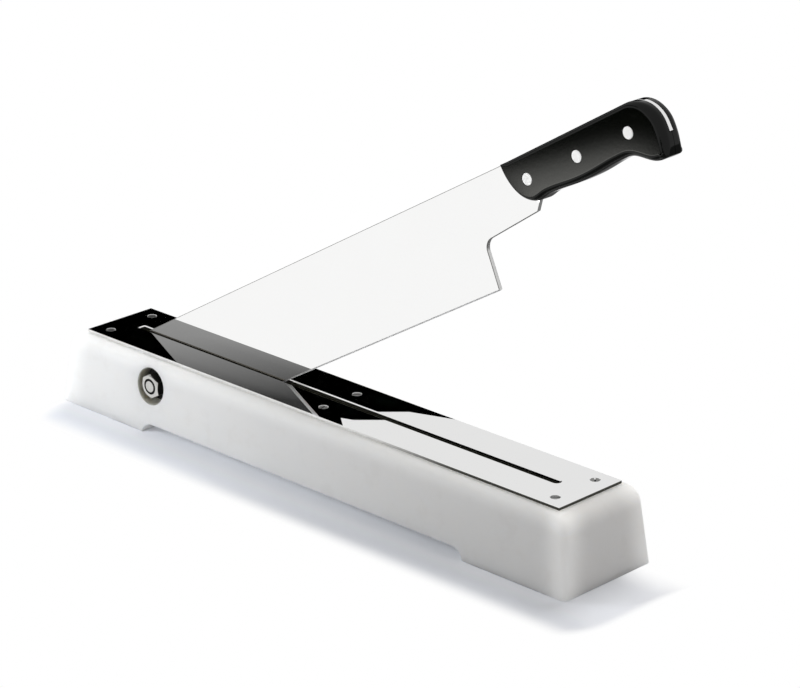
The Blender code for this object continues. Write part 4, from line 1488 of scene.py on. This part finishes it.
def scale_form(side):
    """One scale, its outer face flat, rounded over to the outline by a different amount all round."""
    outline, rounding = handle_outline()
    inward = inward_directions(outline)
    steps = sizes().handle_steps
    loops = [placed(outline, side * PARTING_GAP / 2, "Y")]
    for step in range(steps + 2):
        angle = math.pi / 2 * min(step, steps) / steps
        extra = FACE_SUPPORT if step > steps else 0
        loop = []
        for point, direction, radius in zip(outline, inward, rounding):
            inset = radius * (1 - math.cos(angle)) + extra
            reach = SCALE_FACE - radius * (1 - math.sin(angle))
            loop.append((point[0] + direction.x * inset, side * reach, point[1] + direction.y * inset))
        loops.append(loop)
    return loft(loops)


def tang_pocket():
    """What the tang needs inside the scales, open at the front, the back and the butt."""
    corner = (TANG_START + GAP * (math.sqrt(2) - 1), TANG_UNDERSIDE - GAP)
    outline = [
        (FRONT - PAST, BACK + PAST),
        (FRONT - PAST, corner[1] - (corner[0] - FRONT + PAST)),
        corner,
        (BUTT + PAST, corner[1]),
        (BUTT + PAST, BACK + PAST),
    ]
    half = BLADE_THICKNESS / 2 + GAP
    return prism(outline, -half, half)


class CUTTER_OT_handle(bpy.types.Operator):
    """Make the two black handle scales"""

    bl_idname = "cutter.handle"
    bl_label = "Handle Scales"

    def execute(self, context):
        for name, side in [("near", -1), ("far", 1)]:
            shape = carved(scale_form(side), tang_pocket(), gathered(rivet_holes()))
            black = finish("black_plastic")
            nodes = [f"handle_scale_{name}"]
            add_piece(f"scale_{name}", shape, black, "blade", nodes, place=BLADE_FRAME)
        return {"FINISHED"}


def rivet_shape():
    """A rivet along Y, each end a little domed, with a rounded rim."""
    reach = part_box(RIVETS[0])[1].y
    edge = sizes().rivet_break
    rim = arc((RIVET_RADIUS - edge, reach - RIVET_DOME - edge), edge, 90, 0, 4)
    end = [(0, reach), (RIVET_RADIUS * 0.3, reach), (RIVET_RADIUS * 0.6, reach - RIVET_DOME / 2), *rim]
    other = [(across, -height) for across, height in reversed(end)]
    return turned(end + other, steps=RIVET_STEPS)


class CUTTER_OT_rivets(bpy.types.Operator):
    """Set the three rivets through the handle"""

    bl_idname = "cutter.rivets"
    bl_label = "Handle Rivets"

    def execute(self, context):
        steel = finish("rivet_steel")
        places = [middle(node) for node in RIVETS]
        turns = [(0, math.radians(RIVET_TURN * index), 0) for index in range(len(places))]
        rivets = repeated("handle_rivets", rivet_shape(), places, turns, steel)
        settle(rivets, steel, "blade", RIVETS)
        return {"FINISHED"}


# The stage

def shadow_floor(weave, x, y):
    """The matt floor, painted darker in a band beside the block's long walls as painted shadow. To the
    camera a painted pale blue light lifts it a little by the block, and it is pure white away from it.
    """
    tone = studio().floor
    past_end = (abs(x) - end_reach(0)).at_least(0)
    past_side = (abs(y) - side_reach(0)).at_least(0)
    past = (past_end * past_end * 4 + past_side * past_side) ** 0.5
    # Painted shadow: the floor's colour is darker in a band beside the long walls, but not past the ends
    painted_wall_shade = weave.step(past_side, *PAINTED_WALL_SHADE) * (1 - weave.step(past_end, *PAINTED_WALL_SHADE_END))
    painted_shade_tone = weave.mix_colour(painted_wall_shade, four(tone), four(tone, 0.91))
    matt = weave.add("ShaderNodeBsdfDiffuse", values={"Color": painted_shade_tone})
    # Painted light: a faint pale blue glow lifts the shadow by the block
    painted_lift = weave.add("ShaderNodeAddShader", values={0: matt, 1: weave.glow(PALE_BLUE, 0.12)})
    clear = weave.step(past, *SHADOW_OUTER).at_least(weave.step(y, *SHADOW_REAR))
    shown = weave.mix_shader(clear, painted_lift, weave.glow(WHITE))
    return weave.mix_shader(weave.ray("Camera"), matt, shown)


def painted_reflected_floor(weave, x, y):
    """The floor that reflections see: white, with painted grey shade to the right and behind, and a painted
    dark patch for the handle to mirror with a painted pool of light in it.
    """
    behind = weave.step(y, *GREY_NEAR) * (1 - weave.step(y, *GREY_FAR)) * weave.step(x, *GREY_LEFT)
    greyed = weave.step(x, *GREY_RIGHT).at_least(behind)
    under = weave.mix_shader(greyed, weave.glow(WHITE), weave.glow(WHITE, 0.2))
    right = x - PATCH_CORNER.x
    up = y - PATCH_CORNER.y
    along = right * PATCH_RUN.x + up * PATCH_RUN.y
    down = (up * PATCH_RUN.x - right * PATCH_RUN.y + along * PATCH_LEAN) / PATCH_DEPTH
    slant = down - along * POOL_SLANT
    # Painted light: a pool of pale yellow light in the dark patch, for the handle to mirror
    light = weave.step(slant, *POOL_RISE) * 0.6 + weave.step(slant, *POOL_CREST) * 0.28
    light = light * (1 - weave.step(along, *POOL_END))
    patch = weave.mix_shader(light, weave.glow(WHITE, 0.0), weave.glow(PALE_YELLOW, 6.0))
    past_patch = weave.step(along, *PATCH_END).at_least(weave.step(down, *PATCH_LOWER))
    past_patch = past_patch.at_least(1 - weave.step(down, *PATCH_UPPER))
    in_patch = weave.step(along, *PATCH_START) * (1 - past_patch)
    return weave.mix_shader(in_patch, under, patch)


def floor_finish():
    """A pale floor that keeps the shadow, with painted light and shade in reflections."""
    made, weave = new_material("floor")
    x, y = (weave.part(weave.place(), axis) for axis in "XY")
    shown = shadow_floor(weave, x, y)
    surface(weave, weave.mix_shader(weave.ray("Glossy"), shown, painted_reflected_floor(weave, x, y)))
    return made


def card_finish(name, stops, low, high):
    """A card's light, by height: stops of a share of the height and a brightness."""
    made, weave = new_material(name)
    level = (weave.part(weave.place(), "Z") - low) / (high - low)
    surface(weave, weave.mix_shader(weave.ramp(level, *stops), weave.glow(WHITE, 0.0), weave.glow(WHITE)))
    return made


def add_card(name, out, away, across, heights, stops):
    """An upright card that only reflections see: how far out it stands, its reach across, its heights."""
    side = Vector((out.y, -out.x, 0))
    left, right = across
    low, high = heights
    corners = [(left, low), (right, low), (right, high), (left, high)]
    shape = bmesh.new()
    verts = [shape.verts.new(out * away + side * u + Vector((0, 0, height))) for u, height in corners]
    shape.faces.new(verts)
    card = plain_object(name, shape)
    card.data.materials.append(card_finish(name, stops, low, high))
    card.visible_camera = False
    card.visible_diffuse = False
    card.visible_shadow = False
    card.visible_transmission = False


def add_lamp(name, watts):
    """A lamp that reflections don't see: a soft one, or a narrow spot if it has no size."""
    place, target, size, tint = LAMPS[name]
    data = bpy.data.lights.new(name, "AREA" if size else "SPOT")
    if size:
        data.shape = "RECTANGLE"
        data.size, data.size_y = size
    else:
        data.spot_size = math.radians(17)
        data.spot_blend = 0.5
        data.shadow_soft_size = 0.03
    data.energy = watts
    data.color = tint
    lamp = linked(name, data)
    lamp.location = place
    aim(lamp, Vector(target) - Vector(place))
    lamp.visible_glossy = False


def add_world(strength):
    """Even light from all round, white to the camera and pale grey in reflections."""
    world = bpy.data.worlds.new("studio")
    bpy.context.scene.world = world
    world.use_nodes = True
    world.node_tree.nodes.clear()
    weave = Weave(world.node_tree)
    soft, grey, white = (
        weave.add("ShaderNodeBackground", values={"Color": four(tone), "Strength": level})
        for tone, level in [(WARM, strength), (WHITE, MIRRORED_SKY), (WHITE, 1.0)]
    )
    unseen = weave.mix_shader(weave.ray("Glossy"), soft, grey)
    seen = weave.ray("Camera").at_least(weave.ray("Transmission"))
    weave.add("ShaderNodeOutputWorld", values={"Surface": weave.mix_shader(seen, unseen, white)})


def add_camera():
    """The camera, at the photograph's distance and angle."""
    setting = studio()
    turn = setting.azimuth
    rise = setting.elevation
    back = Vector((math.sin(turn) * math.cos(rise), -math.cos(turn) * math.cos(rise), math.sin(rise)))
    data = bpy.data.cameras.new("camera")
    data.lens = setting.lens
    data.sensor_width = 36
    data.clip_start = 0.05
    camera = linked("camera", data)
    camera.location = CAMERA_PLACE
    aim(camera, -back)
    bpy.context.scene.camera = camera


class CUTTER_OT_stage(bpy.types.Operator):
    """Set up the pale floor, the soft light, the reflection cards and the camera"""

    bl_idname = "cutter.stage"
    bl_label = "Stage"

    def execute(self, context):
        setting = studio()
        shape = bmesh.new()
        corners = [(-1, -1), (1, -1), (1, 1), (-1, 1)]
        shape.faces.new([shape.verts.new((x * FLOOR_REACH, y * FLOOR_REACH, 0)) for x, y in corners])
        floor = plain_object("floor", shape)
        floor.data.materials.append(floor_finish())
        turn = setting.azimuth
        away = Vector((-math.sin(turn), math.cos(turn), 0))
        add_card("black_card_far", away, 2.0, (-1.6, 1.6), (0.0, 0.884), BLACK)
        add_card("black_card_left", away, 1.99, (-1.6, -0.054), (0.0, 1.3), BLACK)
        add_card("grey_card_left", FRONT_LEFT, 1.5, (-0.5, 0.5), (0.54, 0.8), GREY_FADE)
        for name in LAMPS:
            add_lamp(name, getattr(setting, name))
        add_world(setting.sky)
        add_camera()
        context.scene.view_settings.view_transform = "Standard"
        return {"FINISHED"}


class CUTTER_PT_panel(bpy.types.Panel):
    """Buttons that make the cutter's pieces"""

    bl_idname = "CUTTER_PT_panel"
    bl_label = "Salt Cod Cutter"
    bl_space_type = "VIEW_3D"
    bl_region_type = "UI"
    bl_category = "Cutter"

    def draw(self, context):
        column = self.layout.column(align=True)
        for operator in OPERATORS:
            column.operator(operator.bl_idname)
        for group in (sizes(), finishes(), studio()):
            box = self.layout.box()
            for name in group.__annotations__:
                box.prop(group, name)


OPERATORS = [
    CUTTER_OT_block,
    CUTTER_OT_plate,
    CUTTER_OT_screws,
    CUTTER_OT_pivot,
    CUTTER_OT_blade,
    CUTTER_OT_handle,
    CUTTER_OT_rivets,
    CUTTER_OT_stage,
]
CLASSES = [CutterSizes, CutterFinishes, CutterStudio, *OPERATORS, CUTTER_PT_panel]


def register():
    for item in CLASSES:
        bpy.utils.register_class(item)
    bpy.types.Scene.cutter_sizes = bpy.props.PointerProperty(type=CutterSizes)
    bpy.types.Scene.cutter_finishes = bpy.props.PointerProperty(type=CutterFinishes)
    bpy.types.Scene.cutter_studio = bpy.props.PointerProperty(type=CutterStudio)


def unregister():
    del bpy.types.Scene.cutter_studio
    del bpy.types.Scene.cutter_finishes
    del bpy.types.Scene.cutter_sizes
    for item in reversed(CLASSES):
        bpy.utils.unregister_class(item)


def main():
    register()
    bpy.ops.cutter.block()
    bpy.ops.cutter.plate()
    bpy.ops.cutter.screws()
    bpy.ops.cutter.pivot()
    bpy.ops.cutter.blade()
    bpy.ops.cutter.handle()
    bpy.ops.cutter.rivets()
    bpy.ops.cutter.stage()


if __name__ == "__main__":
    main()
